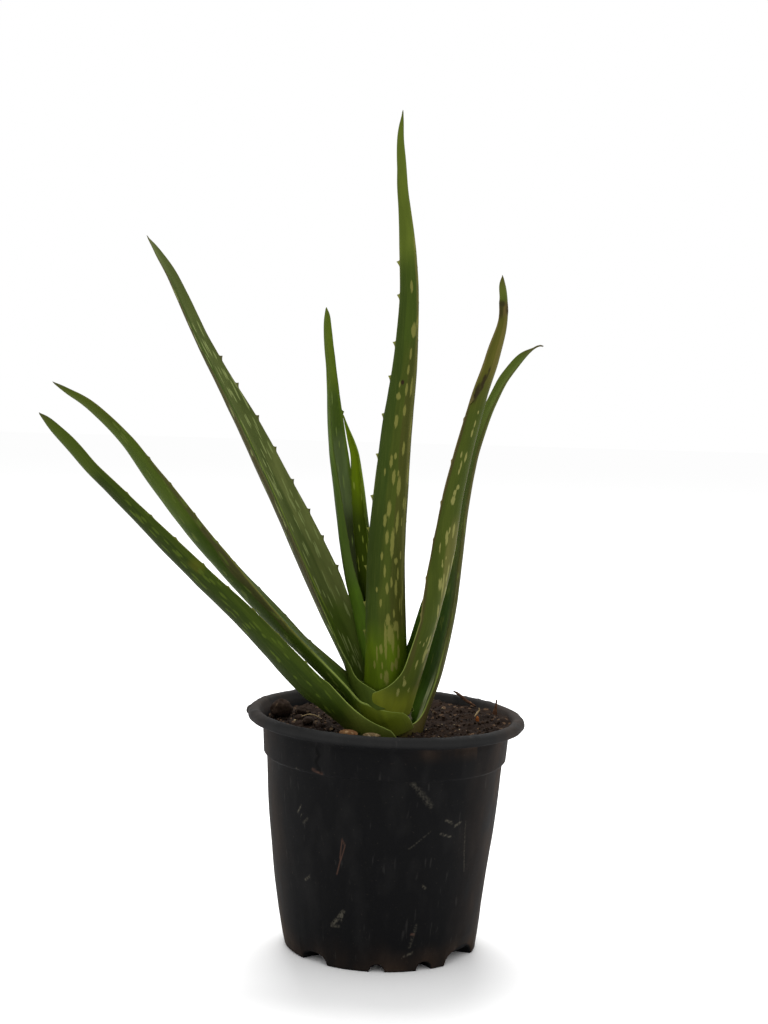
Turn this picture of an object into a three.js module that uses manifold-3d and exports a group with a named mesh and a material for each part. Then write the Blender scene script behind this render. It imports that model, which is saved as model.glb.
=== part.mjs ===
// A young aloe with eight toothed leaves in a thin round nursery pot.
// Millimetres, +Z up. The pot stands on z = 0 with its axis on the Z axis.
// Azimuths are in degrees, 0 along +X and 90 along +Y.

import * as THREE from 'three';
import { mergeVertices } from 'three/addons/utils/BufferGeometryUtils.js';
import Module from 'manifold-3d';

const wasm = await Module();
wasm.setup();

// ---------------------------------------------------------------- driving dimensions

const POT = {
  height: 128.4,
  lipRadius: 75,
  wall: 1.6,
  floor: 2,
  segments: 48,
  rimDip: 3.2,          // how far the rim sags towards +X over the pot's width
  dent: 2.7,            // how far the wall is pushed out on the -X side
};

// Drainage arches in the bottom edge: azimuth, angular width, height. A second set faces them.
const ARCHES = [
  { azimuth: -132, width: 20, height: 5.5 },
  { azimuth: -91.5, width: 9, height: 4 },
  { azimuth: -63, width: 10, height: 4.5 },
  { azimuth: -33, width: 31, height: 8 },
];
const ARCH_START = 24;      // radius where each drainage channel begins
const ARCH_END = 60;        // radius well outside the wall, where its cut ends
const ARCH_SKIN = 1.6;      // plastic over a channel
const DRAIN_HOLE = { radius: 2.5, ring: 40 };

const GAP = 0.3;            // between pieces that touch

// The mix is heaped towards +X and dished round the stem.
const SOIL = { level: 122.2, heap: 2.3, dish: 4.2, dishRadius: 30, segments: 36, ringStep: 6.5 };

const CROWN = { x: 3, y: -12, z: 118.5 };     // where the stem leaves the soil
const STEM = { radius: 10.6, top: 153, hole: 5.5, rootTip: 82 };

const LEAF_RINGS = 30;
const LEAF_SIDES = 12;
const TIP_HALF_WIDTH = 0.45;
const TIP_THICKNESS = 0.9;

// Spines run from the base to the tip. azimuth: the side of the stem the leaf grows on.
// width, sheath: how wide the blade and its base are, measured round the channel.
// wrap, fold, foldTip: half angle of the channel at the base, in the blade and at the tip.
// clasp: how soon the base opens into the blade. taper: below 1 keeps the width longer.
// twist: [share of the length, degrees]. teeth: first, pitch, last share, height.
const LEAVES = [
  {
    name: 'leaf_inner', azimuth: 30, colour: 0x6f8f1c,
    spine: [[8, -8, 140], [7, -5, 160], [4, -2, 185], [-3, 2, 215], [-9, 5, 240],
      [-17, 7, 268], [-27, 8, 292]],
    width: 15, sheath: 22, wrap: 90, fold: 62, foldTip: 50, thick: 3, clasp: 18, taper: 0.8,
    twist: [[0, 0], [1, 0]], teeth: { first: 45, pitch: 15, last: 0.8, height: 0.9 },
  },
  {
    name: 'leaf_folded', azimuth: 145, colour: 0x3f6a2a,
    spine: [[-4, -7, 136], [-8, -4, 148], [-13, 0, 163], [-18, 4, 183], [-23, 8, 203],
      [-28.5, 12, 243], [-34, 14, 280], [-37, 14, 310], [-39, 14, 346]],
    width: 21, sheath: 30, wrap: 100, fold: 78, foldTip: 50, thick: 3.5, clasp: 18, taper: 0.65,
    twist: [[0, 0], [1, 0]], teeth: { first: 50, pitch: 20, last: 0.75, height: 1.2 },
  },
  {
    name: 'leaf_tall', azimuth: -80, colour: 0x3f6417,
    spine: [[2, -22, 135], [1, -24, 150], [0, -28, 170], [-1, -32, 200], [-1, -36, 236],
      [1.4, -41, 278], [5.4, -46, 324], [5, -49, 369], [0.5, -50, 409], [0.5, -50, 444]],
    width: 25.5, sheath: 34, wrap: 80, fold: 58, foldTip: 50, thick: 4.5, clasp: 18, taper: 0.95,
    twist: [[0, 0], [1, 0]], teeth: { first: 45, pitch: 19.2, last: 0.8, height: 2.2 },
  },
  {
    name: 'leaf_broad_left', azimuth: 145, colour: 0x4c6a35,
    spine: [[-10, -9, 130], [-12, -8, 138], [-16, -6, 148], [-21, -3, 160], [-32, 2, 182],
      [-48, 8, 214], [-75.5, 18, 267], [-105.5, 26, 320], [-129.5, 31, 368], [-139.5, 34, 383]],
    width: 30, sheath: 58, wrap: 130, fold: 62, foldTip: 50, thick: 4, clasp: 20, taper: 0.93,
    twist: [[0, -4], [0.3, 4], [1, 4]], teeth: { first: 55, pitch: 18.5, last: 0.8, height: 1.6 },
  },
  {
    name: 'leaf_right', azimuth: 9, colour: 0x5a6126,
    spine: [[12, -14, 133], [14, -16, 142], [16.5, -20, 154], [19.5, -24, 168],
      [26, -31, 195], [31.5, -36, 230], [36, -41, 258], [44, -46, 299], [50, -48, 320],
      [54, -50, 340], [53, -51, 363]],
    width: 23, sheath: 66, wrap: 155, fold: 74, foldTip: 50, thick: 4, clasp: 20, taper: 0.85,
    twist: [[0, 0], [0.2, 0], [0.4, -50], [1, -50]],
    teeth: { first: 60, pitch: 20, last: 0.7, height: 0.9 },
  },
  {
    name: 'leaf_second_left', azimuth: 183, colour: 0x46681f,
    spine: [[-9, -12, 118], [-12, -13, 126], [-18, -16, 135], [-28, -19, 147], [-61, -25, 179],
      [-91, -29, 210], [-124, -32, 252], [-140, -33, 273], [-162, -34, 293], [-178, -34, 302]],
    width: 25, sheath: 58, wrap: 130, fold: 60, foldTip: 50, thick: 4, clasp: 19, taper: 0.7,
    twist: [[0, 0], [0.3, 0], [0.6, 12], [1, 12]],
    teeth: { first: 60, pitch: 19, last: 0.8, height: 0.9 },
  },
  {
    name: 'leaf_low_right', azimuth: 40, colour: 0x35601f,
    spine: [[13, -4, 116], [17, -1, 126], [22, 2, 138], [27, 4, 155], [33, 8, 189],
      [35, 10, 211], [38, 13, 238], [45, 16, 271], [54, 19, 298], [63, 21, 314], [79, 24, 328]],
    width: 24, sheath: 56, wrap: 115, fold: 60, foldTip: 50, thick: 4, clasp: 24, taper: 1.15,
    twist: [[0, 0], [1, 0]], teeth: { first: 60, pitch: 19, last: 0.7, height: 0.9 },
  },
  {
    name: 'leaf_low_left', azimuth: 205, colour: 0x3f5f19,
    spine: [[-8, -20, 112], [-13, -26, 118], [-22, -33, 127], [-34, -39, 138], [-47, -43, 150],
      [-83, -54, 190], [-125, -66, 231], [-148, -72, 255], [-176, -78, 288]],
    width: 25, sheath: 54, wrap: 110, fold: 58, foldTip: 50, thick: 5, clasp: 22, taper: 0.7,
    twist: [[0, 0], [0.15, 15], [1, 15]],
    teeth: { first: 60, pitch: 19, last: 0.8, height: 0.9 },
  },
];

// ---------------------------------------------------------------- solids from meshes

const radians = THREE.MathUtils.degToRad;

function solidOf(geometry) {
  const bare = geometry.clone();
  bare.deleteAttribute('normal');
  bare.deleteAttribute('uv');
  const merged = mergeVertices(bare, 1e-4);
  return new wasm.Manifold(new wasm.Mesh({
    numProp: 3,
    vertProperties: new Float32Array(merged.attributes.position.array),
    triVerts: new Uint32Array(merged.index.array),
  }));
}

function geometryOf(solid) {
  const mesh = solid.getMesh();
  const geometry = new THREE.BufferGeometry();
  geometry.setAttribute('position', new THREE.BufferAttribute(mesh.vertProperties, 3));
  geometry.setIndex(new THREE.BufferAttribute(mesh.triVerts, 1));
  geometry.computeVertexNormals();
  return geometry;
}

// Cutting can leave crumbs behind: only the largest body is kept.
function largestBody(solid) {
  const bodies = solid.decompose();
  bodies.sort((a, b) => b.volume() - a.volume());
  return bodies[0];
}

// Moves every vertex of a geometry by a function of its place.
function bend(geometry, move) {
  const place = geometry.attributes.position;
  const point = new THREE.Vector3();
  for (let i = 0; i < place.count; i += 1) {
    point.fromBufferAttribute(place, i);
    move(point);
    place.setXYZ(i, point.x, point.y, point.z);
  }
  return geometry;
}

// A lathe round Z: the profile is a list of [radius, z] from bottom to top of the outside.
function lathe(profile, segments) {
  const points = profile.map(([r, z]) => new THREE.Vector2(r, z));
  const geometry = new THREE.LatheGeometry(points, segments);
  return geometry.rotateX(Math.PI / 2);
}

function seeded(seed) {
  let state = seed;
  return () => {
    state = (state * 1664525 + 1013904223) % 4294967296;
    return state / 4294967296;
  };
}

// ---------------------------------------------------------------- pot

// The soft wall has settled: the rim dips towards +X and the -X side is pushed out.
function settlePot(point) {
  const rise = point.z / POT.height;
  const radius = Math.hypot(point.x, point.y);
  const facing = radius > 1 ? Math.max(0, -point.x / radius) : 0;
  const belly = Math.sin(Math.PI * Math.min(1, Math.max(0, rise)) ** 0.6);
  const push = POT.dent * facing ** 3 * belly * (radius / POT.lipRadius);
  point.z -= (POT.rimDip / (2 * POT.lipRadius)) * point.x * rise;
  point.x -= push;
}

// Outer face of the pot, from the foot to the collar, as [radius, z].
const OUTER_WALL = [
  [51.2, 0], [52.1, 1], [54.6, 22], [58, 50], [61.3, 78], [63.6, 103.4], [65.4, 104.8],
  [66.8, 121],
];

function insideOf(profile, thickness) {
  return profile.map(([r, z]) => [r - thickness, z]);
}

function potShell() {
  const { height, lipRadius, wall, floor } = POT;
  const inner = insideOf(OUTER_WALL, wall).filter(([, z]) => z > floor);
  const profile = [
    [0, 0],
    ...OUTER_WALL,
    [lipRadius - 5, 123.2],
    [lipRadius - 1.4, 123],
    [lipRadius, 125],
    [lipRadius - 0.6, 127.4],
    [lipRadius - 2.6, height],
    [lipRadius - 5.4, height - 0.1],
    [lipRadius - 6.5, height - 1.2],
    ...inner.reverse(),
    [OUTER_WALL[1][0] - wall, floor],
    [0, floor],
  ];
  return lathe(profile, POT.segments);
}

// A drainage channel: an arch whose span is an angle, drawn out along the radius.
function channel(arch, start, end, skin) {
  const middle = radians(arch.azimuth);
  const half = radians(arch.width / 2);
  const shape = new THREE.Shape();
  const side = half + skin / DRAIN_HOLE.ring;
  shape.moveTo(-side, -1);
  shape.lineTo(side, -1);
  shape.absellipse(0, 0, side, arch.height + skin, 0, Math.PI, false);
  const geometry = new THREE.ExtrudeGeometry(shape, {
    depth: end - start, bevelEnabled: false, curveSegments: 4, steps: 1,
  });
  return bend(geometry, (point) => {
    const radius = start + point.z;
    const angle = middle + point.x;
    const rise = point.y;
    point.set(radius * Math.cos(angle), radius * Math.sin(angle), rise);
  });
}

const allArches = [...ARCHES, ...ARCHES.map((arch) => ({ ...arch, azimuth: arch.azimuth + 180 }))];

// A round hole down through the roof of a channel.
function drainHole(arch) {
  const { radius, ring } = DRAIN_HOLE;
  const angle = radians(arch.azimuth);
  const hole = new THREE.CylinderGeometry(radius, radius, 6 * radius, 10);
  hole.rotateX(Math.PI / 2);
  return hole.translate(ring * Math.cos(angle), ring * Math.sin(angle), 2 * radius);
}

function potSolid() {
  const middle = insideOf(OUTER_WALL, POT.wall / 2);
  const envelope = solidOf(lathe([[0, 0.4], ...middle.slice(1), [0, 121]], POT.segments));
  let pot = solidOf(potShell());
  for (const arch of allArches) {
    const roof = solidOf(channel(arch, ARCH_START - ARCH_SKIN, ARCH_END, ARCH_SKIN));
    pot = pot.add(roof.intersect(envelope));
  }
  for (const arch of allArches) {
    pot = pot.subtract(solidOf(channel(arch, ARCH_START, ARCH_END, 0)));
    pot = pot.subtract(solidOf(drainHole(arch)));
  }
  return largestBody(solidOf(bend(geometryOf(pot), settlePot)));
}

// ---------------------------------------------------------------- soil and what lies on it

// Height of the soil over its level: heaped to one side, dished round the stem, crumbs all over.
function soilRelief(x, y) {
  const fromCrown = Math.hypot(x - CROWN.x, y - CROWN.y);
  const level = (POT.rimDip / (2 * POT.lipRadius)) * x;
  const heap = SOIL.heap * (Math.max(0, x) / OUTER_WALL[5][0]) ** 2;
  const dish = SOIL.dish * Math.exp(-((fromCrown / SOIL.dishRadius) ** 2));
  const lumps = 0.7 * Math.sin(x / 7.3 + 0.6) * Math.cos(y / 6.1 - 0.4);
  const crumbs = 0.4 * Math.sin(x / 3.1 + y / 4.7) + 0.3 * Math.cos(x / 2.3 - y / 2.9);
  return level + heap - dish + lumps + crumbs;
}

function soilSolid() {
  const sides = insideOf(OUTER_WALL.slice(2), POT.wall + GAP);
  const [edge, collarTop] = sides[sides.length - 1];
  const flare = 0.5;        // the wall leans out this much for each millimetre of height
  const rim = edge + (SOIL.level - collarTop) * flare;
  const rings = [];
  for (let r = rim - 4; r > 2; r -= SOIL.ringStep) {
    rings.push([r, SOIL.level]);
  }
  const foot = POT.floor + GAP;
  const profile = [
    [0, foot], [OUTER_WALL[1][0] - POT.wall - GAP, foot], ...sides,
    [rim, SOIL.level], ...rings, [0, SOIL.level],
  ];
  const geometry = bend(lathe(profile, SOIL.segments), (point) => {
    if (point.z > SOIL.level - 0.01) {
      const relief = soilRelief(point.x, point.y);
      const spread = 1 + relief * flare / rim;
      point.set(point.x * spread, point.y * spread, point.z + relief);
    }
  });
  let soil = solidOf(geometry);
  for (const arch of allArches) {
    const grown = ARCH_SKIN + GAP;
    soil = soil.subtract(solidOf(channel(arch, ARCH_START - grown, ARCH_END, grown)));
  }
  return largestBody(solidOf(bend(geometryOf(soil), settlePot)));
}

function stemGeometry(grow) {
  const { radius, top, hole, rootTip } = STEM;
  const profile = [
    [0, rootTip - grow],
    [hole * 0.5 + grow, rootTip - grow],
    [hole + grow, rootTip + 12],
    [radius * 0.9 + grow, CROWN.z - 12],
    [radius + grow, CROWN.z - 4],
    [radius + grow, CROWN.z + 8],
    [radius * 0.9 + grow, CROWN.z + 14],
    [radius * 0.66 + grow, CROWN.z + 20],
    [radius * 0.36 + grow, top - 6],
    [radius * 0.15 + grow, top + grow],
    [0, top + grow],
  ];
  return lathe(profile, 20).translate(CROWN.x, CROWN.y, 0);
}

// A rough lump: a low sphere pushed in and out by waves.
function lump([x, y, z], [sx, sy, sz], turn, seed) {
  const geometry = new THREE.SphereGeometry(1, 10, 7);
  bend(geometry, (point) => {
    const wave = Math.sin(point.x * 3 + seed) * Math.cos(point.y * 4 - seed) * Math.sin(point.z * 3);
    point.multiplyScalar(1 + 0.16 * wave);
  });
  geometry.scale(sx, sy, sz);
  geometry.rotateZ(radians(turn));
  return geometry.translate(x, y, z);
}

// A round stick along a list of points, thinner at its ends.
function stick(points, radius) {
  const curve = new THREE.CatmullRomCurve3(points.map((p) => new THREE.Vector3(...p)));
  const section = new THREE.Shape();
  section.absarc(0, 0, radius, 0, 2 * Math.PI, false);
  return new THREE.ExtrudeGeometry(section, {
    steps: 8, curveSegments: 4, bevelEnabled: false, extrudePath: curve,
  });
}

// ---------------------------------------------------------------- leaves

function interpolate(table, share) {
  for (let i = 1; i < table.length; i += 1) {
    const [s0, v0] = table[i - 1];
    const [s1, v1] = table[i];
    if (share <= s1) {
      return v0 + (v1 - v0) * (share - s0) / (s1 - s0);
    }
  }
  return table[table.length - 1][1];
}

// Place, axes and section of the leaf at each step along its spine.
function leafStations(leaf) {
  const points = leaf.spine.map((p) => new THREE.Vector3(...p));
  const curve = new THREE.CatmullRomCurve3(points, false, 'catmullrom', 0.5);
  const azimuth = radians(leaf.azimuth);
  const inward = new THREE.Vector3(-Math.cos(azimuth), -Math.sin(azimuth), 0);
  const stations = [];
  let run = 0;
  for (let i = 0; i <= LEAF_RINGS; i += 1) {
    const place = curve.getPoint(i / LEAF_RINGS);
    const along = curve.getTangent(i / LEAF_RINGS);
    if (i > 0) {
      run += place.distanceTo(stations[i - 1].place);
    }
    stations.push({ place, along, run });
  }
  for (const station of stations) {
    const { along } = station;
    const share = station.run / run;
    const up = inward.clone().addScaledVector(along, -inward.dot(along)).normalize();
    const across = along.clone().cross(up);
    const twist = radians(interpolate(leaf.twist, share));
    station.up = up.clone().multiplyScalar(Math.cos(twist)).addScaledVector(across, Math.sin(twist));
    station.across = across.multiplyScalar(Math.cos(twist)).addScaledVector(up, -Math.sin(twist));
    const grip = Math.exp(-((station.run / leaf.clasp) ** 2));
    const blade = (leaf.width / 2) * Math.sin((Math.PI / 2) * (1 - share) ** leaf.taper);
    const open = leaf.fold + (leaf.foldTip - leaf.fold) * share;
    station.half = Math.max(TIP_HALF_WIDTH, blade + ((leaf.sheath - leaf.width) / 2) * grip);
    station.fold = radians(open + (leaf.wrap - open) * grip);
    station.thick = Math.max(TIP_THICKNESS, leaf.thick * Math.min(1, (1.02 - share) / 0.5) ** 0.7);
    station.share = share;
  }
  return stations;
}

// A point of the section: u runs across the leaf from -1 to 1, lift is measured off its middle.
function sectionPoint(station, u, lift, grow) {
  const radius = station.half / station.fold;
  const angle = u * (station.fold + grow / radius);
  const height = radius * (1 - Math.cos(angle)) + lift * Math.cos(angle);
  const side = radius * Math.sin(angle) - lift * Math.sin(angle);
  return station.place.clone()
    .addScaledVector(station.up, height)
    .addScaledVector(station.across, side);
}

function leafGeometry(leaf, grow) {
  const stations = leafStations(leaf);
  const first = stations[0];
  const last = stations[stations.length - 1];
  first.place.addScaledVector(first.along, -grow);
  last.place.addScaledVector(last.along, grow);
  const position = [];
  for (const station of stations) {
    for (let j = 0; j < LEAF_SIDES; j += 1) {
      const angle = (2 * Math.PI * j) / LEAF_SIDES;
      const swell = Math.sign(Math.sin(angle)) * Math.abs(Math.sin(angle)) ** 1.15;
      const lift = (station.thick / 2 + grow) * swell;
      position.push(...sectionPoint(station, Math.cos(angle), lift, grow).toArray());
    }
  }
  const index = [];
  const quad = (a, b, c, d) => index.push(a, b, c, a, c, d);
  for (let i = 0; i < LEAF_RINGS; i += 1) {
    for (let j = 0; j < LEAF_SIDES; j += 1) {
      const next = (j + 1) % LEAF_SIDES;
      const low = i * LEAF_SIDES;
      const high = low + LEAF_SIDES;
      quad(low + j, high + j, high + next, low + next);
    }
  }
  closeEnd(index, 0, false);
  closeEnd(index, LEAF_RINGS * LEAF_SIDES, true);
  const geometry = new THREE.BufferGeometry();
  geometry.setAttribute('position', new THREE.Float32BufferAttribute(position, 3));
  geometry.setIndex(index);
  return geometry;
}

// Closes a crescent ring with rungs between its two faces.
function closeEnd(index, start, atTip) {
  const face = (a, b, c) => (atTip ? index.push(a, c, b) : index.push(a, b, c));
  const half = LEAF_SIDES / 2;
  for (let j = 0; j < half; j += 1) {
    const a = start + j;
    const b = start + j + 1;
    const c = start + ((LEAF_SIDES - j - 1) % LEAF_SIDES);
    const d = start + ((LEAF_SIDES - j) % LEAF_SIDES);
    if (j > 0) {
      face(a, b, d);
    }
    if (j < half - 1) {
      face(b, c, d);
    }
  }
}

// One tooth: a small pyramid on the margin, its foot sunk in the leaf, leaning to the tip.
function tooth(station, side, height) {
  const { fold, along, up, across } = station;
  const margin = sectionPoint(station, side, 0, 0);
  const out = up.clone().multiplyScalar(Math.sin(fold)).addScaledVector(across, side * Math.cos(fold));
  const flat = up.clone().multiplyScalar(Math.cos(fold)).addScaledVector(across, -side * Math.sin(fold));
  const foot = margin.clone().addScaledVector(out, -1.6);
  const corner = (a, b) => foot.clone().addScaledVector(along, a).addScaledVector(flat, b);
  const long = 1.1 + height * 0.7;
  const thin = 0.5;
  const corners = [corner(-long, -thin), corner(long, -thin), corner(long, thin), corner(-long, thin)];
  const apex = margin.clone().addScaledVector(out, height).addScaledVector(along, height * 0.5);
  const geometry = new THREE.BufferGeometry();
  geometry.setAttribute('position', new THREE.Float32BufferAttribute(
    [...corners, apex].flatMap((p) => p.toArray()), 3));
  const outward = side > 0 ? [0, 1, 4, 1, 2, 4, 2, 3, 4, 3, 0, 4, 0, 2, 1, 0, 3, 2]
    : [1, 0, 4, 2, 1, 4, 3, 2, 4, 0, 3, 4, 0, 1, 2, 0, 2, 3];
  geometry.setIndex(outward);
  return geometry;
}

// Teeth stand along both margins at the leaf's pitch, each a little early or late.
function leafTeeth(leaf, draw) {
  const stations = leafStations(leaf);
  const total = stations[stations.length - 1].run;
  const teeth = [];
  for (const side of [-1, 1]) {
    let run = leaf.teeth.first;
    while (run < leaf.teeth.last * total) {
      const next = stations.findIndex((station) => station.run >= run);
      const a = stations[next - 1];
      const b = stations[next];
      const w = (run - a.run) / (b.run - a.run);
      const mix = (x, y) => x + (y - x) * w;
      const station = {
        place: a.place.clone().lerp(b.place, w),
        along: a.along.clone().lerp(b.along, w).normalize(),
        up: a.up.clone().lerp(b.up, w).normalize(),
        across: a.across.clone().lerp(b.across, w).normalize(),
        half: mix(a.half, b.half),
        fold: mix(a.fold, b.fold),
      };
      const height = leaf.teeth.height * (0.85 + 0.3 * draw());
      teeth.push(tooth(station, side, height));
      run += leaf.teeth.pitch * (0.88 + 0.24 * draw());
    }
  }
  return teeth;
}

// ---------------------------------------------------------------- assembly

const plant = new THREE.Group();

function addPart(name, geometry, colour, roughness) {
  const material = new THREE.MeshStandardMaterial({ color: colour, roughness, metalness: 0 });
  const mesh = new THREE.Mesh(geometry, material);
  mesh.name = name;
  plant.add(mesh);
}

addPart('pot', geometryOf(potSolid()), 0x1b1c1f, 0.45);

const stemHole = solidOf(stemGeometry(GAP));
const soil = soilSolid().subtract(stemHole);
const soilCover = soil.translate([0, 0, GAP]);
addPart('soil', geometryOf(soil), 0x2b211c, 0.95);
addPart('stem', stemGeometry(0), 0x4a4426, 0.7);

// From the innermost leaf outwards, each one clasps round those before it.
let clasped = stemHole;
LEAVES.forEach((leaf, order) => {
  let solid = solidOf(leafGeometry(leaf, 0));
  for (const geometry of leafTeeth(leaf, seeded(11 + order))) {
    solid = solid.add(solidOf(geometry));
  }
  solid = largestBody(solid.subtract(clasped).subtract(soilCover));
  addPart(leaf.name, geometryOf(solid), leaf.colour, 0.5);
  clasped = clasped.add(solidOf(leafGeometry(leaf, GAP)));
});

// Loose pieces of the potting mix, cut to lie on it.
const LOOSE = [
  { name: 'clod', form: lump([-57.5, 8, 126.4], [5.9, 5.6, 5], 20, 1), colour: 0x5a4a40 },
  { name: 'clod_small', form: lump([-46, 15, 123.6], [4.6, 3.8, 3], -30, 3), colour: 0x4a3a2e },
  { name: 'bark_chip', form: lump([-19.5, -41.5, 122.4], [4.4, 2.4, 1.8], -25, 5), colour: 0x8a6246 },
  { name: 'pale_chip', form: lump([-7.4, -42, 121.8], [3.8, 2.1, 1.5], -8, 7), colour: 0x9c8467 },
  {
    name: 'stick', colour: 0x5a3d2a,
    form: stick([[50.5, 42, 124.4], [45.5, 47.5, 126.4], [41, 54, 129], [38.3, 59, 129.7]], 1.1),
  },
  {
    name: 'twig_stub', colour: 0x4b3022,
    form: stick([[59.6, 20, 119], [60, 20, 124], [60.6, 20.3, 128], [61, 21, 132.5]], 1.2),
  },
];
for (const { name, form, colour } of LOOSE) {
  addPart(name, geometryOf(largestBody(solidOf(form).subtract(soilCover))), colour, 0.9);
}

export default plant;
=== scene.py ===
"""A young aloe in a thin black nursery pot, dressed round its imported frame.

Tables are in millimetres and degrees, as on the real plant; meshes are in metres.
Azimuth 0 is along +X and 90 along +Y. The pot stands on z = 0 round the Z axis.
"""
import math
import bpy
import numpy as np
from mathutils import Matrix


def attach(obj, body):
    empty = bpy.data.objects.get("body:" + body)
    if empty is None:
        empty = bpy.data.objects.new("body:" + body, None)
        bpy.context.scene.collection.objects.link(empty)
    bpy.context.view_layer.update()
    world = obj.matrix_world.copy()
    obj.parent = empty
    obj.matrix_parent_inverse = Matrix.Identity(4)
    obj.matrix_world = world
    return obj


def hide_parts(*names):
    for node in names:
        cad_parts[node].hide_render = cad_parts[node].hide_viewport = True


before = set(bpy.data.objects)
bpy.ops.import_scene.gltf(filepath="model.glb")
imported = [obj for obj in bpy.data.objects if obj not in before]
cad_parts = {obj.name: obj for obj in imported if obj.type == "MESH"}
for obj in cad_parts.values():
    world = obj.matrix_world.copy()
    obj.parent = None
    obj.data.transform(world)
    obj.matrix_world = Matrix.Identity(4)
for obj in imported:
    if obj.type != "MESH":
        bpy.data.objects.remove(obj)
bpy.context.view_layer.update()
MM = 0.001

# ------------------------------------------------------------------ sizes, in millimetres

POT = {"height": 128.4, "lip": 75.0, "wall": 1.6, "floor": 2.0, "rim_dip": 3.2, "dent": 2.7}
# The pot's section: points of (radius, height), and radii where the height follows from the part.
OUTER_WALL = np.array([(52.1, 1), (54.6, 22), (58, 50), (61.3, 78), (63.6, 103.4), (65.4, 104.8),
                       (66.8, 121)])
LIP = np.array([(66.8, 121), (69.4, 123), (73.2, 122.8), (74.6, 123.7), (75, 125.4), (74.3, 127.4),
                (72.4, 128.4), (70.4, 128.35), (69.1, 127.7), (68.2, 126.4), (65.2, 121)])
FOOT = (52.1, 0.9)
COLLAR_STEP = np.array([(63.6, 102.9), (63.62, 103.4), (63.9, 103.8), (65.0, 104.5), (65.35, 104.9)])
COLLAR = np.array([(65.4, 105.4), (66.1, 113), (66.8, 120.8)])
INNER_WALL = np.array([(65.2, 120.5), (63.8, 105), (62, 103), (59.7, 78), (56.4, 50), (53, 22), (50.8, 6)])
UNDERSIDE_RADII = (3, 12, 20, 23.8, 24.2, 30, 36, 42, 47, 50, 51.2)
FLOOR_RADII = (50.3, 40, 30, 24.6, 22.4, 12, 3)
LIP_FOOT = 121.0        # height at which the lip leaves the collar
BURR = {"azimuth": math.pi, "width": 0.016, "height": 1.3}    # a torn point of the lip, angles in radians
# Drainage arches in the bottom edge: azimuth, angular width, height. A second set faces them.
ARCHES = [(-132, 20, 5.5), (-91.5, 9, 4), (-63, 10, 4.5), (-33, 31, 8)]
ARCHES = ARCHES + [(azimuth + 180, width, height) for azimuth, width, height in ARCHES]
ARCH_START = 24.0       # radius at which the channels begin
ARCH_SKIN = 1.6         # wall over a channel
ARCH_FADE = 14.0        # height of the outer wall over which it follows the arches
DRAIN = {"ring": 40.0, "radius": 2.5}   # a drain hole in the roof of each channel
DRAIN_ENDS = np.array([[-3.0], [14.0]])     # heights of both ends of its cutter
WALL_RADIUS = 58.0      # of the wall half way up, by which marks are measured round it

# heap: rise towards +X, in full at reach. dish: hollow round the stem. edge: radius of the top.
# clear: how far the soil stays over the pot's floor.
SOIL = {"level": 122.2, "heap": 2.3, "dish": 4.2, "dish_radius": 30.0, "edge": 65.6, "clear": 0.8,
        "reach": 63.6}
SOIL_SIDE = np.array([(49.5, 10), (52.6, 22), (56.1, 50), (59.4, 78), (61.7, 103), (63.5, 106),
                      (64.9, 120.5)])
SOIL_FLOOR_RADII = np.array([3, 12, 22, 25, 34, 42, 48.5])
CROWN = np.array([3.0, -12.0, 118.5])
STEM = {"radius": 10.6, "top": 153.0, "hole": 5.5, "root_tip": 82.0}

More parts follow.
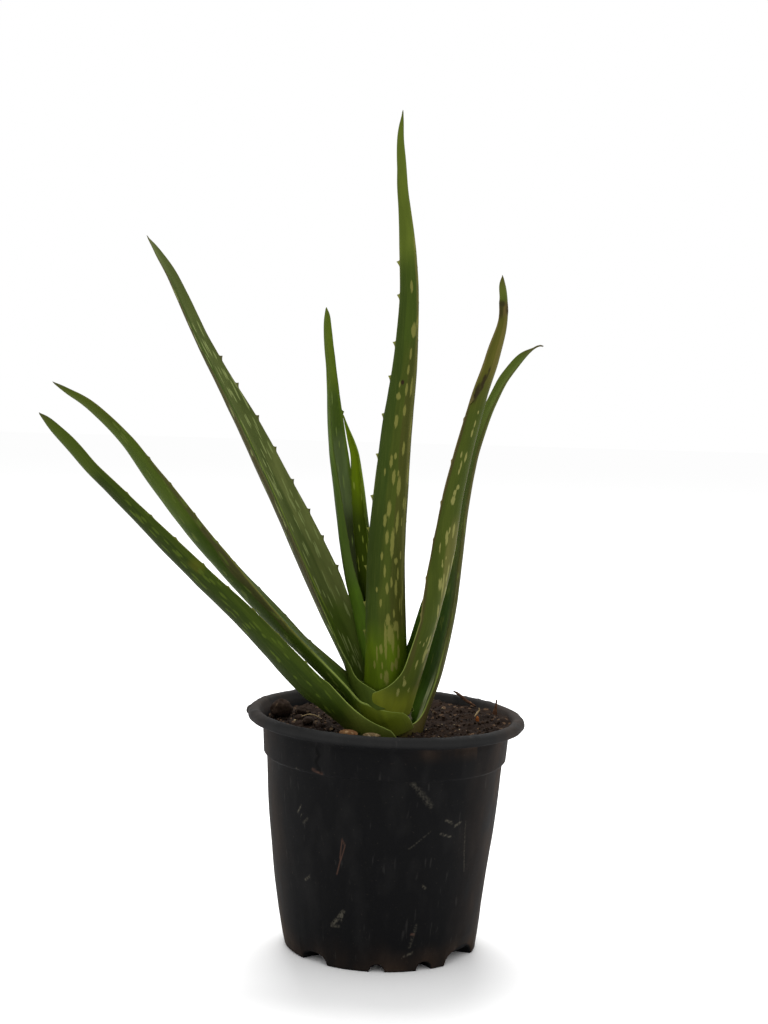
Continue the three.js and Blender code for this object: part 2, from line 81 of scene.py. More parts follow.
# Spines run from the base to the tip. azimuth: the side of the stem the leaf grows on.
# width, sheath: how wide the blade and its base are, measured round the channel.
# wrap, fold, fold_tip: half angle of the channel at the base, in the blade and at the tip.
# clasp, grip: how far up and how abruptly the base opens into the blade. taper: below 1 keeps
# the width longer. girth, sway: corrections at STATIONS, fitted to margins that were read off the
# photograph.
# twist: (share of the length, degrees). teeth: first, pitch, last share, height, and the
# places along the margin named in seen, where the photo shows them.
LEAVES = {
    "leaf_inner": dict(
        azimuth=30, width=17, sheath=24, wrap=90, fold=62, fold_tip=50, thick=3, clasp=18,
        grip=2, taper=0.8, twist=[(0, 0), (1, 0)],
        girth=[1.00, 1.10, 1.20, 1.25, 1.30, 1.38, 1.46, 1.52, 1.52, 1.66, 1.43, 1.04],
        sway=[-3.5, -4.5, -5, -5.2, -5, -4.4, -3.2, -2.1, -1, -1, -1, -0.8],
        teeth=dict(first=45, pitch=15, last=0.8, height=0.9),
        spine=[(1, -8, 140), (-1, -5, 160), (-3, -2, 185), (-7, 1, 215), (-12, 4, 240), (-19, 7, 268),
               (-27.4, 8, 289)]),
    "leaf_folded": dict(
        azimuth=145, width=21, sheath=30, wrap=100, fold=78, fold_tip=50, thick=3.5, clasp=18,
        grip=2, taper=0.65, twist=[(0, 25), (0.28, 25), (0.48, 15), (0.63, 6), (1, 0)],
        girth=[1.35, 1.38, 1.42, 1.26, 1.24, 1.24, 1.12, 1.00, 0.97, 1.23, 1.66, 2.65],
        sway=[-0.9, -0.6, -0.4, -0.5, -0.7, -0.5, 0.2, 0.8, 0.8, -0.1, -0.3, 0.5],
        teeth=dict(first=50, pitch=20, last=0.75, height=1.2), seen=(1, [158]),
        spine=[(-4, -7, 136), (-8, -4, 148), (-13, 0, 163), (-18, 4, 183), (-23, 8, 203),
               (-28.5, 12, 243), (-34, 14, 280), (-37, 14, 310), (-39, 14, 346)]),
    "leaf_tall": dict(
        azimuth=-80, width=25.5, sheath=34, wrap=80, fold=58, fold_tip=50, thick=4.5, clasp=18,
        grip=2, taper=0.95, twist=[(0, 0), (1, 0)],
        girth=[1.03, 1.02, 0.98, 0.98, 0.93, 0.90, 0.92, 0.99, 1.05, 1.34, 1.90, 3.40],
        sway=[0, -0.3, -0.4, 0.4, 0, -0.2, 0.4, -0.2, 0.4, 0.1, -1.4, -0.6],
        teeth=dict(first=45, pitch=19.2, last=0.8, height=2.2),
        seen=(1, [40.5, 56, 75.5, 95.5, 112.5, 134.5, 155.5, 175.5, 193.5, 218, 235]),
        spine=[(2, -22, 135), (1, -24, 150), (0, -28, 170), (-1, -32, 200), (-1, -36, 236),
               (1.4, -41, 278), (5.4, -46, 324), (5, -49, 369), (0.5, -50, 409), (0.5, -50, 444)]),
    "leaf_broad_left": dict(
        azimuth=145, width=30, sheath=64, wrap=142, fold=62, fold_tip=50, thick=4, clasp=15,
        grip=2, taper=0.93, twist=[(0, -4), (0.3, 4), (1, 4)],
        girth=[0.90, 0.85, 1.18, 1.17, 1.09, 1.06, 0.99, 1.06, 1.40, 1.77, 2.63, 3.40],
        sway=[0, -1.2, -1, -0.5, -0.4, 0.3, 0.6, 0.5, 0.6, 0.4, -0.8, 0.4],
        teeth=dict(first=55, pitch=18.5, last=0.8, height=1.6),
        seen=(1, [60, 78, 96, 112.5, 131, 151, 170.5, 191.5, 209]),
        spine=[(-11, -9.5, 130.5), (-12.5, -8.5, 138.5), (-16.5, -6.5, 148), (-21, -3, 160),
               (-32, 2, 182), (-48, 8, 214), (-75.5, 18, 267), (-105.5, 26, 320), (-129.5, 31, 368),
               (-139.5, 34, 383)]),
    "leaf_right": dict(
        azimuth=9, width=23, sheath=63.5, wrap=142, fold=74, fold_tip=50, thick=4, clasp=17,
        grip=2.4, taper=0.85, twist=[(0, -11), (0.14, -11), (0.24, -10), (0.4, -50), (1, -50)],
        girth=[1.33, 1.41, 1.41, 1.03, 0.96, 0.99, 1.09, 1.26, 1.56, 1.55, 2.60, 6.50],
        sway=[0, 0.6, 0.7, 0.3, -0.8, -0.9, -0.1, 0.3, 0.2, 0.5, 0.6, -0.7],
        teeth=dict(first=60, pitch=20, last=0.7, height=0.9),
        spine=[(11.5, -13, 132), (13.5, -15.5, 141), (16, -19.5, 153.5), (19.5, -24, 168),
               (26, -31, 195), (31.5, -36, 230), (36, -41, 258), (44, -46, 299), (50, -48, 320),
               (54, -50, 340), (53, -51, 363)]),
    "leaf_second_left": dict(
        azimuth=183, width=25, sheath=70, wrap=126, fold=60, fold_tip=50, thick=7.5, clasp=18,
        grip=3.2, taper=0.7, twist=[(0, -4), (0.14, -4), (0.25, 0), (0.3, 0), (0.6, 12), (1, 12)],
        girth=[0.90, 0.85, 0.74, 1.04, 1.27, 1.43, 1.53, 1.42, 1.45, 1.84, 1.89, 2.24],
        sway=[0, 0.7, 0.9, 1.2, 1.3, 0, -0.3, -0.4, -0.1, -0.4, -1.1, 0.8],
        teeth=dict(first=60, pitch=19, last=0.8, height=0.9),
        spine=[(-8, -10, 118.5), (-11, -11.5, 126.5), (-17.5, -15, 135.5), (-28, -18.5, 147),
               (-61, -25, 179), (-91, -29, 210), (-124, -32, 252), (-140, -33, 273), (-162, -34, 293),
               (-178, -34, 302)]),
    "leaf_low_right": dict(
        azimuth=40, width=24, sheath=68, wrap=130, fold=60, fold_tip=50, thick=5, clasp=11.5,
        grip=1.6, taper=1.15, twist=[(0, -5), (0.2, -5), (0.35, 0), (1, 0)],
        girth=[0.90, 0.85, 0.97, 1.00, 1.11, 1.10, 1.08, 1.26, 1.61, 2.75, 5.00, 2.00],
        sway=[0, -0.3, 0, 0, 0.2, -0.1, -0.6, -0.5, 0, -0.2, -2.2, -2],
        teeth=dict(first=60, pitch=19, last=0.7, height=0.9),
        spine=[(12, -2.5, 110.5), (16.5, 0.5, 121.5), (21.5, 3, 135), (27, 4.5, 154), (33, 8, 189),
               (35, 10, 211), (38, 13, 238), (45, 16, 271), (54, 19, 298), (63, 21, 314),
               (76.5, 23.5, 325.4), (80.3, 24, 326.3)]),
    "leaf_low_left": dict(
        azimuth=205, width=25, sheath=60.5, wrap=102, fold=58, fold_tip=50, thick=5, clasp=16,
        grip=2.3, taper=0.7, twist=[(0, -4), (0.15, 11), (0.25, 15), (1, 15)],
        girth=[1.11, 1.07, 1.01, 0.94, 0.88, 0.86, 0.86, 0.93, 1.12, 1.60, 2.13, 3.22],
        sway=[0, 0.8, 1, 0.7, 0.2, 0.8, 1.6, 1.5, 0.2, 0.2, -0.5, -0.1],
        teeth=dict(first=60, pitch=19, last=0.8, height=0.9),
        spine=[(-13, -21.5, 117), (-17, -27.5, 122), (-24.5, -34, 129.5), (-35, -39.5, 139),
               (-47, -43, 150), (-83, -54, 190), (-125, -66, 231), (-148, -72, 255), (-176, -78, 288)]),
}
# Shares of the length at which girth (times the blade's width) and sway (mm to the right) are given.
STATIONS = (0, 0.12, 0.25, 0.38, 0.5, 0.6, 0.7, 0.78, 0.85, 0.91, 0.96, 1)
RING_STEP = 0.8         # mm between rings of a leaf
LEAF_SIDES = 144        # points round a leaf
TOOTH_RINGS = np.array([-1.9, -1.2, -0.6, -0.2, 0.15, 0.5, 0.9, 1.5])    # extra rings at a tooth
LEAST_STEP = 0.08       # rings nearer than this to the one before are left out
TOOTH_FLANKS = (2.3, 1.7)   # mm along the margin from a tooth's point to its foot, below and above it
LEAST_HALF = 0.7        # half width that a leaf keeps up to its tip
LEAST_THICK = 0.9       # thickness that it keeps
TIP_POWER = 70          # of the share of the length: the higher, the shorter is the rounding of the tip
RIPPLES = (0.32, 0.08)  # how far the long and the fine ripples stand out or in
PAINT = (0.85, 0.88, 0.58)  # albedo over measured colour, by channel, in this white studio

# Pale marks that the photograph shows one by one, read off it, all on the outside of the
# leaf: mm from the base, mm across, length and width.
MARKS = {
    "leaf_tall": [
        (223, -0.5, 7, 1.6), (201, -2.1, 8, 3.5), (189, -1.6, 6, 1.6), (181, -1.2, 5, 1.6),
        (171, -1.3, 7, 1.6), (173, 1.8, 4, 1.1), (167, 1.8, 4, 2.7), (160, -1.6, 6, 1.9),
        (154, 1.4, 7, 2.2), (140, -3, 8, 1.9), (133, 1.9, 7, 1.9), (136, 0.3, 4, 1.6), (127, 4.4, 5, 1.3),
        (125, 0.3, 8, 2.2), (127, -1.6, 4, 1.1), (120, -2.4, 11, 2.7), (111, -6, 7, 1.6),
        (108, 1.1, 9, 2.7), (102, 2.5, 7, 2.2), (101, -3.2, 12, 2.2), (101, -5.8, 5, 1.1),
        (93, 1.1, 8, 2.2), (90, -1.5, 16, 2.7), (83, 3, 5, 1.6), (83, -6.4, 5, 1.6), (75, 1.5, 7, 1.6),
        (80, -3.7, 4, 2.7), (73, -4.9, 7, 1.6), (66, 0.4, 7, 1.9), (69, -1.6, 6, 1.6),
        (65, -3.9, 10, 2.2), (65, 5, 3, 1.6), (58, 3.2, 5, 1.6), (56, -6.1, 8, 1.3), (52, -2.8, 5, 1.6),
        (49, 0, 7, 2.7), (37, 1.3, 21, 1.9), (41, -0.8, 11, 4.3), (37, -2.1, 14, 2.2),
        (42, -4.8, 11, 1.6), (45, -3.7, 6, 3.8), (30, 5.4, 10, 1.3), (33, 3.4, 6, 2.2), (30, -5, 9, 2.2),
        (24, 6.8, 5, 1.6), (24, 3.1, 5, 1.3), (23, -1.4, 6, 2.2), (24, -3.5, 7, 2.7), (18, 3.8, 4, 1.6),
        (17, 1.4, 9, 3.2)],
    "leaf_right": [
        (168, 1.3, 2, 1.1), (162, 1.4, 4, 1.1), (157, 1.6, 5, 1.3), (145, 4, 4, 1.1), (144, 1.7, 6, 1.6),
        (136, 3.5, 3, 1.1), (128, 2.4, 3, 2.2), (125, 3.7, 3, 1.1), (121, 3.5, 5, 2.7),
        (119, -7.2, 6, 1.6), (115, -5.1, 4, 1.1), (111, -7.2, 5, 1.3), (105, 3, 4, 1.1),
        (100, 3.7, 8, 1.6), (105, 0.9, 8, 1.9), (96, -8.4, 6, 1.3), (88, 5, 3, 0.8), (90, 3.3, 2, 0.8),
        (86, 4.9, 3, 1.3), (85, -9.6, 5, 1.6), (76, 6, 7, 1.6), (77, -9.7, 10, 2.7), (52, -8.2, 7, 2.2),
        (62, 5.7, 8, 1.9), (51, -5.5, 5, 1.6), (45, 12.5, 2, 1.1), (39, -2.1, 8, 2.2), (37, 7, 10, 3.2),
        (32, 10.6, 6, 1.6), (24, 15.3, 3, 1.1), (21, 14.4, 4, 2.7), (17, 11.4, 4, 1.6),
        (16, 16.9, 5, 2.7), (14, -9.2, 5, 1.6)]}


# How each leaf is coloured. Outside of the channel is face -1, inside is face 1, both is 0.
# base: hex outside and inside. bands: (face, across from, to, share from, to, hex, strength), where
# across runs from -1 to 1. flecks: (face, how many, middle across, spread, first and last share,
# length, width). scars: (share, across, length, width, depth, strength), length to depth in mm; a
# negative depth stands out.
LOOKS = {
    "leaf_inner": dict(
        slot="leaf_young", base=("#66790f", "#6a7e12"), fleck="#8f9a4c", rim="#5a6a20",
        bands=[(0, -1.2, 1.2, -0.1, 0.68, "#2f3d0d", 0.85), (0, -1.2, 1.2, 0.985, 1.1, "#4a4420", 0.7)],
        flecks=[(-1, 14, 0, 0.5, 0.1, 0.8, 6, 1.2), (1, 14, 0, 0.5, 0.1, 0.8, 6, 1.2)]),
    "leaf_folded": dict(
        slot="leaf_grey_green", base=("#5b6e40", "#45571f"), fleck="#6b7a48", rim="#4d5a28",
        # On the inside, the first band (#272c10) is painted shade in the channel, and the second (#5f6c50) is
        # a painted sheen of reflected light.
        bands=[(1, -1.2, 1.2, 0.16, 0.5, "#272c10", 0.9), (1, -0.2, 0.9, 0.47, 0.68, "#5f6c50", 0.7),
               (1, 0.8, 1.2, 0.25, 0.9, "#4f6218", 0.8), (-1, -1.2, 1.2, 0.28, 0.62, "#4e632a", 0.7),
               (0, -1.2, 1.2, -0.1, 0.3, "#557220", 0.85), (0, -1.2, 1.2, 0.8, 1.1, "#5a6a1c", 0.9),
               (0, -1.2, 1.2, 0.99, 1.1, "#4a4420", 0.6)],
        flecks=[(-1, 20, 0, 0.5, 0.1, 0.8, 6, 1.1), (1, 16, 0.4, 0.4, 0.1, 0.8, 7, 1.1)]),
    "leaf_tall": dict(
        slot="leaf_green", base=("#3e4d1b", "#3c5022"), fleck="#7b7848", rim="#7c7c46",
        bands=[(-1, 0.3, 1.2, 0.12, 0.75, "#344218", 0.8), (-1, -0.5, 0.3, 0.05, 0.62, "#474d1e", 0.6),
               (-1, -1.2, -0.5, 0.1, 0.9, "#68623a", 0.7), (-1, -0.55, -0.1, 0.12, 0.62, "#464022", 0.5),
               (-1, -1.2, -0.82, 0.1, 0.8, "#372f20", 0.5), (0, -1.2, 1.2, -0.1, 0.13, "#5a6e10", 0.85),
               (-1, 0.2, 1.2, 0.2, 0.36, "#2b360e", 0.5), (0, -1.2, 1.2, 0.76, 1.1, "#616d2c", 0.8),
               (0, -1.2, 1.2, 0.99, 1.1, "#4a4224", 0.8)],
        flecks=[(-1, 18, -0.75, 0.14, 0.15, 0.85, 10, 1.2), (1, 50, 0, 0.5, 0.1, 0.9, 7, 1.4)],
        scars=[(0.56, 0.1, 3.0, 1.6, 0.3, 1.0)]),
    "leaf_broad_left": dict(
        # The inside's grey-green, in its base colour #545d38 and the band #727850, is partly leaf colour and
        # partly a painted sheen of reflected light.
        slot="leaf_grey_green", base=("#48442f", "#545d38"), fleck="#8a936c", rim="#5d5844",
        bands=[(1, -1.2, -0.35, 0.1, 0.9, "#374710", 0.9), (1, -0.43, -0.32, 0.12, 0.6, "#74823a", 0.9),
               # 727850: grey-green, partly a painted sheen of reflected light.
               (1, 0.3, 1.2, 0.08, 0.52, "#727850", 0.75), (0, -1.2, 1.2, 0.92, 1.1, "#5a6340", 0.8),
               (0, -1.2, 1.2, -0.1, 0.2, "#4a5c20", 0.8), (0, -1.2, 1.2, 0.985, 1.1, "#5b5240", 0.8)],
        flecks=[(1, 100, 0.35, 0.4, 0.08, 0.8, 10, 0.9), (-1, 40, -0.6, 0.4, 0.1, 0.9, 8, 1.0)]),
    "leaf_right": dict(
        slot="leaf_olive", base=("#434d1c", "#3a5218"), fleck="#8a865c", rim="#7a6b50", scab="#30281a",
        bands=[(-1, -1.2, -0.25, 0.1, 0.66, "#5a5439", 0.6), (-1, -1.2, -0.72, 0.12, 0.7, "#6f6750", 0.6),
               (-1, -0.55, 0.3, 0.15, 0.46, "#746c48", 0.5), (-1, -0.5, 0.35, 0.03, 0.16, "#6c6440", 0.5),
               (-1, 0.88, 1.2, 0.15, 0.93, "#47382a", 0.7), (-1, -1.2, 1.2, 0.72, 0.92, "#4f4f1f", 0.8),
               (-1, 0.88, 1.2, 0.73, 0.93, "#6a6040", 0.85),
               (-1, 0.3, 0.88, 0.77, 0.925, "#575324", 0.85),
               (-1, -1.2, 0.3, 0.77, 0.92, "#665c34", 0.85), (0, -1.2, 1.2, 0.955, 1.1, "#646d34", 0.9),
               (-1, -1.2, 1.2, -0.1, 0.06, "#82862e", 0.75), (0, -1.2, 1.2, 0.99, 1.1, "#4a3a24", 0.8),
               (-1, 0.5, 1.2, 0.916, 0.944, "#3a2f1c", 0.9), (-1, -1.2, 0.5, 0.914, 0.944, "#66543a", 0.9)],
        flecks=[(-1, 10, 0.3, 0.4, 0.15, 0.6, 6, 0.9), (-1, 44, 0.0, 0.2, 0.12, 0.4, 8, 1.3),
                (1, 40, 0, 0.5, 0.1, 0.7, 6, 1.2)],
        scars=[(0.94, 0.7, 4.0, 3.6, 0.4, 0.8), (0.926, -0.2, 4.5, 3.2, 0.3, 0.7),
               (0.936, -0.1, 3.0, 2.0, 0.2, 0.4), (0.79, 0.4, 9.0, 1.0, 0.35, 0.8),
               (0.765, 0.52, 11.0, 1.8, 0.4, 0.95), (0.74, 0.68, 12.0, 2.6, 0.45, 1.0),
               (0.727, 0.93, 4.6, 3.4, -2.4, 0.7)]),
    "leaf_second_left": dict(
        slot="leaf_green", base=("#35460f", "#3f5220"), fleck="#55612f",
        bands=[(-1, -1.2, 1.2, 0.6, 0.88, "#4d5c23", 0.7), (-1, -1.2, -0.8, 0.3, 0.75, "#4f4636", 0.7),
               (-1, -0.65, 1.2, 0.05, 0.45, "#303e10", 0.75),
               (-1, -1.2, 1.2, -0.1, 0.09, "#6a7220", 0.75), (-1, -1.2, 1.2, -0.1, 0.014, "#3a3418", 0.9),
               (1, 0.5, 1.2, 0.1, 0.9, "#545a34", 0.6), (0, -1.2, 1.2, 0.85, 1.1, "#4a541f", 0.8),
               # 343f15 darkens the lower edge towards the tip: painted shade.
               (-1, 0.35, 1.2, 0.62, 0.98, "#343f15", 0.5), (0, -1.2, 1.2, 0.988, 1.1, "#4a4030", 0.8)],
        flecks=[(-1, 60, -0.5, 0.3, 0.06, 0.85, 6, 1.0), (1, 30, 0, 0.5, 0.1, 0.8, 7, 1.0)]),
    "leaf_low_right": dict(
        slot="leaf_green", base=("#504d30", "#42581f"), fleck="#5d6933", rim="#4c4c2c",
        bands=[(1, -1.2, 0.4, 0.03, 0.36, "#2f4a12", 0.85), (1, -1.2, 0.35, 0.02, 0.14, "#4c6a22", 0.9),
               # The pale band #b4b9a8 low on the inside is a painted highlight.
               (1, 0.25, 0.78, 0.04, 0.165, "#b4b9a8", 0.85), (1, 0.7, 1.2, 0.06, 0.8, "#57542f", 0.5),
               (1, -1.2, 1.2, 0.4, 0.8, "#454f1e", 0.6), (0, -1.2, 1.2, 0.74, 1.1, "#54602a", 0.8),
               (-1, -1.2, 1.2, -0.1, 0.14, "#4a3f20", 1.0), (0, -1.2, 1.2, 0.972, 1.1, "#52452c", 0.9)],
        flecks=[(1, 30, 0.2, 0.4, 0.08, 0.6, 7, 1.0), (-1, 30, 0, 0.6, 0.12, 0.7, 7, 1.0)],
        scars=[(0.37, 1.0, 16.0, 6.0, -1.3, 0.0)]),
    "leaf_low_left": dict(
        slot="leaf_green", base=("#2b380f", "#3f5220"), fleck="#48561f",
        # On the outside, the lighter upper strip (#394713) is painted top light and the darker lower part
        # (#26300d) is painted shade.
        bands=[(-1, -1.2, -0.62, 0.04, 0.9, "#394713", 0.8), (-1, -0.25, 1.2, 0.04, 0.9, "#26300d", 0.75),
               (-1, -0.9, -0.4, 0.545, 0.575, "#6b661e", 0.3), (-1, -1.2, 1.2, -0.1, 0.1, "#565d2a", 0.8),
               (-1, -1.2, 1.2, -0.1, 0.02, "#3a3418", 0.9), (0, -1.2, 1.2, 0.84, 1.1, "#455219", 0.8),
               # 333f14 darkens the lower edge towards the tip: painted shade.
               (-1, 0.35, 1.2, 0.84, 0.985, "#333f14", 0.5), (0, -1.2, 1.2, 0.988, 1.1, "#4a4030", 0.8)],
        flecks=[(-1, 60, -0.45, 0.3, 0.04, 0.75, 6, 1.0), (1, 30, 0, 0.5, 0.1, 0.8, 7, 1.1)]),
}


# ------------------------------------------------------------------ numbers and meshes

def linear(code):
    """sRGB hex to linear RGBA: channel c becomes c/12.92 below 0.04045, else ((c+0.055)/1.055)^2.4."""
    channels = [int(code[i:i + 2], 16) / 255 for i in (1, 3, 5)]
    return [c / 12.92 if c <= 0.04045 else ((c + 0.055) / 1.055) ** 2.4 for c in channels] + [1.0]


def paint(code):
    """A colour measured in the photograph, as albedo: its linear value times PAINT."""
    return [c * share for c, share in zip(linear(code), PAINT)] + [1.0]


def smooth(low, high, x):
    """Smoothstep: 0 below low, 1 above high, t*t*(3-2t) between. With low above high it is turned
    round: 1 below high and 0 above low."""
    t = np.clip((x - low) / (high - low), 0, 1)
    return t * t * (3 - 2 * t)


# Large odd numbers that scatter the cells of the noise, and masks for 32 and 16 bits.
CELL_MIX = (374761393, 668265263, 1440662683)
SEED_MIX = 326648991
LAST_MIX = 1274126177
BITS_32 = 0xFFFFFFFF
BITS_16 = 0xFFFF


def lattice(cell, seed):
    """A repeatable value from 0 to 1 for each whole-numbered cell, by mixing its three numbers."""
    mixed = seed * SEED_MIX + sum(cell[..., axis] * factor for axis, factor in enumerate(CELL_MIX))
    mixed = mixed & BITS_32
    mixed = (mixed ^ (mixed >> 13)) * LAST_MIX & BITS_32
    return ((mixed ^ (mixed >> 16)) & BITS_16) / BITS_16


def noise(points, seed):
    """Value noise from -1 to 1: the eight corners of each cell, blended by smoothstep on each axis."""
    points = np.asarray(points, float)
    cell = np.floor(points).astype(np.int64)
    part = points - cell
    part = part * part * (3 - 2 * part)
    total = np.zeros(points.shape[:-1])
    for corner in np.ndindex(2, 2, 2):
        corner = np.array(corner)
        weight = np.where(corner, part, 1 - part).prod(-1)
        total += weight * lattice(cell + corner, seed)
    return 2 * total - 1


def stack(*columns):
    """Columns of numbers as one array of vectors."""
    return np.stack(np.broadcast_arrays(*columns), -1)


def round_axis(radius, azimuth, z, centre=(0, 0)):
    """Points at a radius, an azimuth and a height, round an upright axis through centre."""
    return stack(centre[0] + radius * np.cos(azimuth), centre[1] + radius * np.sin(azimuth), z)


def ring_noise(azimuth, z, cells, rise, seed):
    """Noise that closes on itself round the Z axis: cells to a radian, each rise mm high."""
    return noise(round_axis(cells, azimuth, z / rise), seed)


def unit(vectors):
    """Each vector divided by its length."""
    return vectors / np.linalg.norm(vectors, axis=-1, keepdims=True)


def tube_faces(rings, sides):
    """Quads between neighbouring rings, and a fan to a middle point at both ends.

    Point j of ring i is i * sides + j; the two middle points follow the last ring."""
    i, j = np.meshgrid(np.arange(rings - 1), np.arange(sides), indexing="ij")
    a = i * sides + j
    b = i * sides + (j + 1) % sides
    quads = np.stack([a, b, b + sides, a + sides], -1).reshape(-1, 4)
    j = np.arange(sides)
    low = rings * sides
    last = (rings - 1) * sides
    foot = np.stack([np.full(sides, low), (j + 1) % sides, j], -1)
    top = np.stack([np.full(sides, low + 1), last + j, last + (j + 1) % sides], -1)
    return quads, np.concatenate([foot, top])


def make_mesh(name, points, quads, triangles, fields=None):
    """A mesh object from points in millimetres, its faces, and one attribute for each field."""
    mesh = bpy.data.meshes.new(name)
    corners = np.concatenate([quads.ravel(), triangles.ravel()]).astype(np.int32)
    sizes = np.concatenate([np.full(len(quads), 4), np.full(len(triangles), 3)])
    starts = np.concatenate([[0], np.cumsum(sizes)[:-1]]).astype(np.int32)
    mesh.vertices.add(len(points))
    mesh.vertices.foreach_set("co", (np.asarray(points) * MM).astype(np.float32).ravel())
    mesh.loops.add(len(corners))
    mesh.loops.foreach_set("vertex_index", corners)
    mesh.polygons.add(len(sizes))
    mesh.polygons.foreach_set("loop_start", starts)
    for field, values in (fields or {}).items():
        values = np.asarray(values, np.float32)
        kind, key = ("FLOAT_VECTOR", "vector") if values.ndim == 2 else ("FLOAT", "value")
        mesh.attributes.new(field, kind, "POINT").data.foreach_set(key, values.ravel())
    mesh.update(calc_edges=True)
    mesh.polygons.foreach_set("use_smooth", np.ones(len(sizes), bool))
    mesh.validate()
    piece = bpy.data.objects.new(name, mesh)
    bpy.context.scene.collection.objects.link(piece)
    return piece


def tube_mesh(name, rings, fields=None):
    """A closed skin over rings of points, shape (rings, sides, 3); its fields have one value a point."""
    count, sides = rings.shape[:2]
    quads, triangles = tube_faces(count, sides)
    points = np.concatenate([rings.reshape(-1, 3), [rings[0].mean(0), rings[-1].mean(0)]])
    flat = {}
    for field, values in (fields or {}).items():
        ends = [values[0].mean(0), values[-1].mean(0)]
        flat[field] = np.concatenate([values.reshape((-1,) + values.shape[2:]), ends])
    return make_mesh(name, points, quads, triangles, flat)


def ring_normals(rings):
    """Outward normals of a skin over rings: the cross product of its two grid directions."""
    along = np.gradient(rings, axis=0)
    around = np.roll(rings, -1, 1) - np.roll(rings, 1, 1)
    return unit(np.cross(around, along) + 1e-12)


def place(piece, material, slot, *nodes):
    """Dresses a finished piece: its material, its body and the nodes it stands for. slot is not used."""
    piece.data.materials.append(material)
    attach(piece, "root")
    if nodes:
        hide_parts(*nodes)


# ------------------------------------------------------------------ material nodes

# Inputs by number: a MapRange turns its value 0 from the span 1 to 2 into the span 3 to 4; a Math
# works on 0 and 1; a Mix lays colour 7 over colour 6 by its share 0.

def fill(tree, node, inputs):
    """Fills a node's inputs: a socket is linked, a value is stored."""
    for key, value in inputs.items():
        if isinstance(value, bpy.types.NodeSocket):
            tree.links.new(value, node.inputs[key])
        else:
            node.inputs[key].default_value = value


def add(tree, kind, links=None, out=0, **settings):
    """Adds a node, sets its properties and fills its inputs from links.

    Returns the output that out names or numbers, or the node itself where out is None."""
    node = tree.nodes.new("ShaderNode" + kind)
    for name, value in settings.items():
        setattr(node, name, value)
    fill(tree, node, links or {})
    return node if out is None else node.outputs[out]


def new_material(name):
    """An empty material with its Principled shader and output, returned as (material, tree, shader)."""
    material = bpy.data.materials.new(name)
    material.use_nodes = True
    tree = material.node_tree
    tree.nodes.clear()
    shader = add(tree, "BsdfPrincipled", out=None)
    add(tree, "OutputMaterial", {"Surface": shader.outputs[0]}, out=None)
    return material, tree, shader


def laid_over(tree, base, layers):
    """Colours laid one over another: each layer is (mask, colour), and the mask says how much."""
    for mask, colour in layers:
        base = add(tree, "Mix", {0: mask, 6: base, 7: colour}, out=2, data_type="RGBA")
    return base


# ------------------------------------------------------------------ camera, light and floor

# The photograph's camera: place in mm, tilt, heading and lean in degrees, lens on a 36 mm frame.
CAMERA = {"y": -1000.0, "z": 320.0, "pitch": 4.757, "yaw": -0.246, "roll": 1.603, "lens": 65.47}
# One large soft lamp overhead, a little behind the plant: metres and watts.
LAMP = {"place": (-0.05, 0.85, 1.9), "aim": (0, 0, 0.2), "size": 1.0, "power": 34.0}
FLOOR_CORNERS = np.array([(-4000, -3000, 0), (4000, -3000, 0), (4000, 6000, 0), (-4000, 6000, 0)])


def stand(thing, axes, spot):
    """Puts a camera or lamp in the scene with its own X, Y and Z along three axes, at a spot in metres."""
    matrix = np.eye(4)
    matrix[:3, :3] = np.transpose(axes)
    matrix[:3, 3] = spot
    thing.matrix_world = matrix.T.tolist()
    bpy.context.scene.collection.objects.link(thing)


def make_camera():
    """The view direction from pitch and yaw; right and up are turned about it by the roll."""
    pitch, yaw, roll = (math.radians(CAMERA[k]) for k in ("pitch", "yaw", "roll"))
    ahead = np.array([math.sin(yaw) * math.cos(pitch), math.cos(yaw) * math.cos(pitch), -math.sin(pitch)])
    right = np.array([math.cos(yaw), -math.sin(yaw), 0])
    up = np.cross(right, ahead)
    across = right * math.cos(roll) + up * math.sin(roll)
    upward = up * math.cos(roll) - right * math.sin(roll)
    camera = bpy.data.objects.new("camera", bpy.data.cameras.new("camera"))
    camera.data.lens = CAMERA["lens"]
    camera.data.sensor_width = 36
    camera.data.clip_end = 50
    stand(camera, (across, upward, -ahead), (0, CAMERA["y"] * MM, CAMERA["z"] * MM))
    bpy.context.scene.camera = camera


def make_stage():
    """A pale floor, an even white surround, and the soft lamp, which faces its aim."""
    floor = make_mesh("floor", FLOOR_CORNERS, np.array([[0, 1, 2, 3]]), np.zeros((0, 3), int))
    material, tree, shader = new_material("pale_matte_floor")
    fill(tree, shader, {"Base Color": linear("#fdfdfd"), "Roughness": 1.0, "Specular IOR Level": 0.0})
    floor.data.materials.append(material)
    scene = bpy.context.scene
    scene.view_settings.view_transform = "Standard"
    scene.world = bpy.data.worlds.new("studio")
    scene.world.use_nodes = True
    sky = scene.world.node_tree.nodes["Background"]
    fill(scene.world.node_tree, sky, {"Color": (1, 1, 1, 1), "Strength": 1.0})
    lamp = bpy.data.objects.new("overhead", bpy.data.lights.new("overhead", "AREA"))
    lamp.data.size = LAMP["size"]
    lamp.data.energy = LAMP["power"]
    back = unit(np.array(LAMP["place"]) - LAMP["aim"])
    right = unit(np.cross((0, 1, 0), back))
    stand(lamp, (right, np.cross(back, right), back), LAMP["place"])


# ------------------------------------------------------------------ leaves

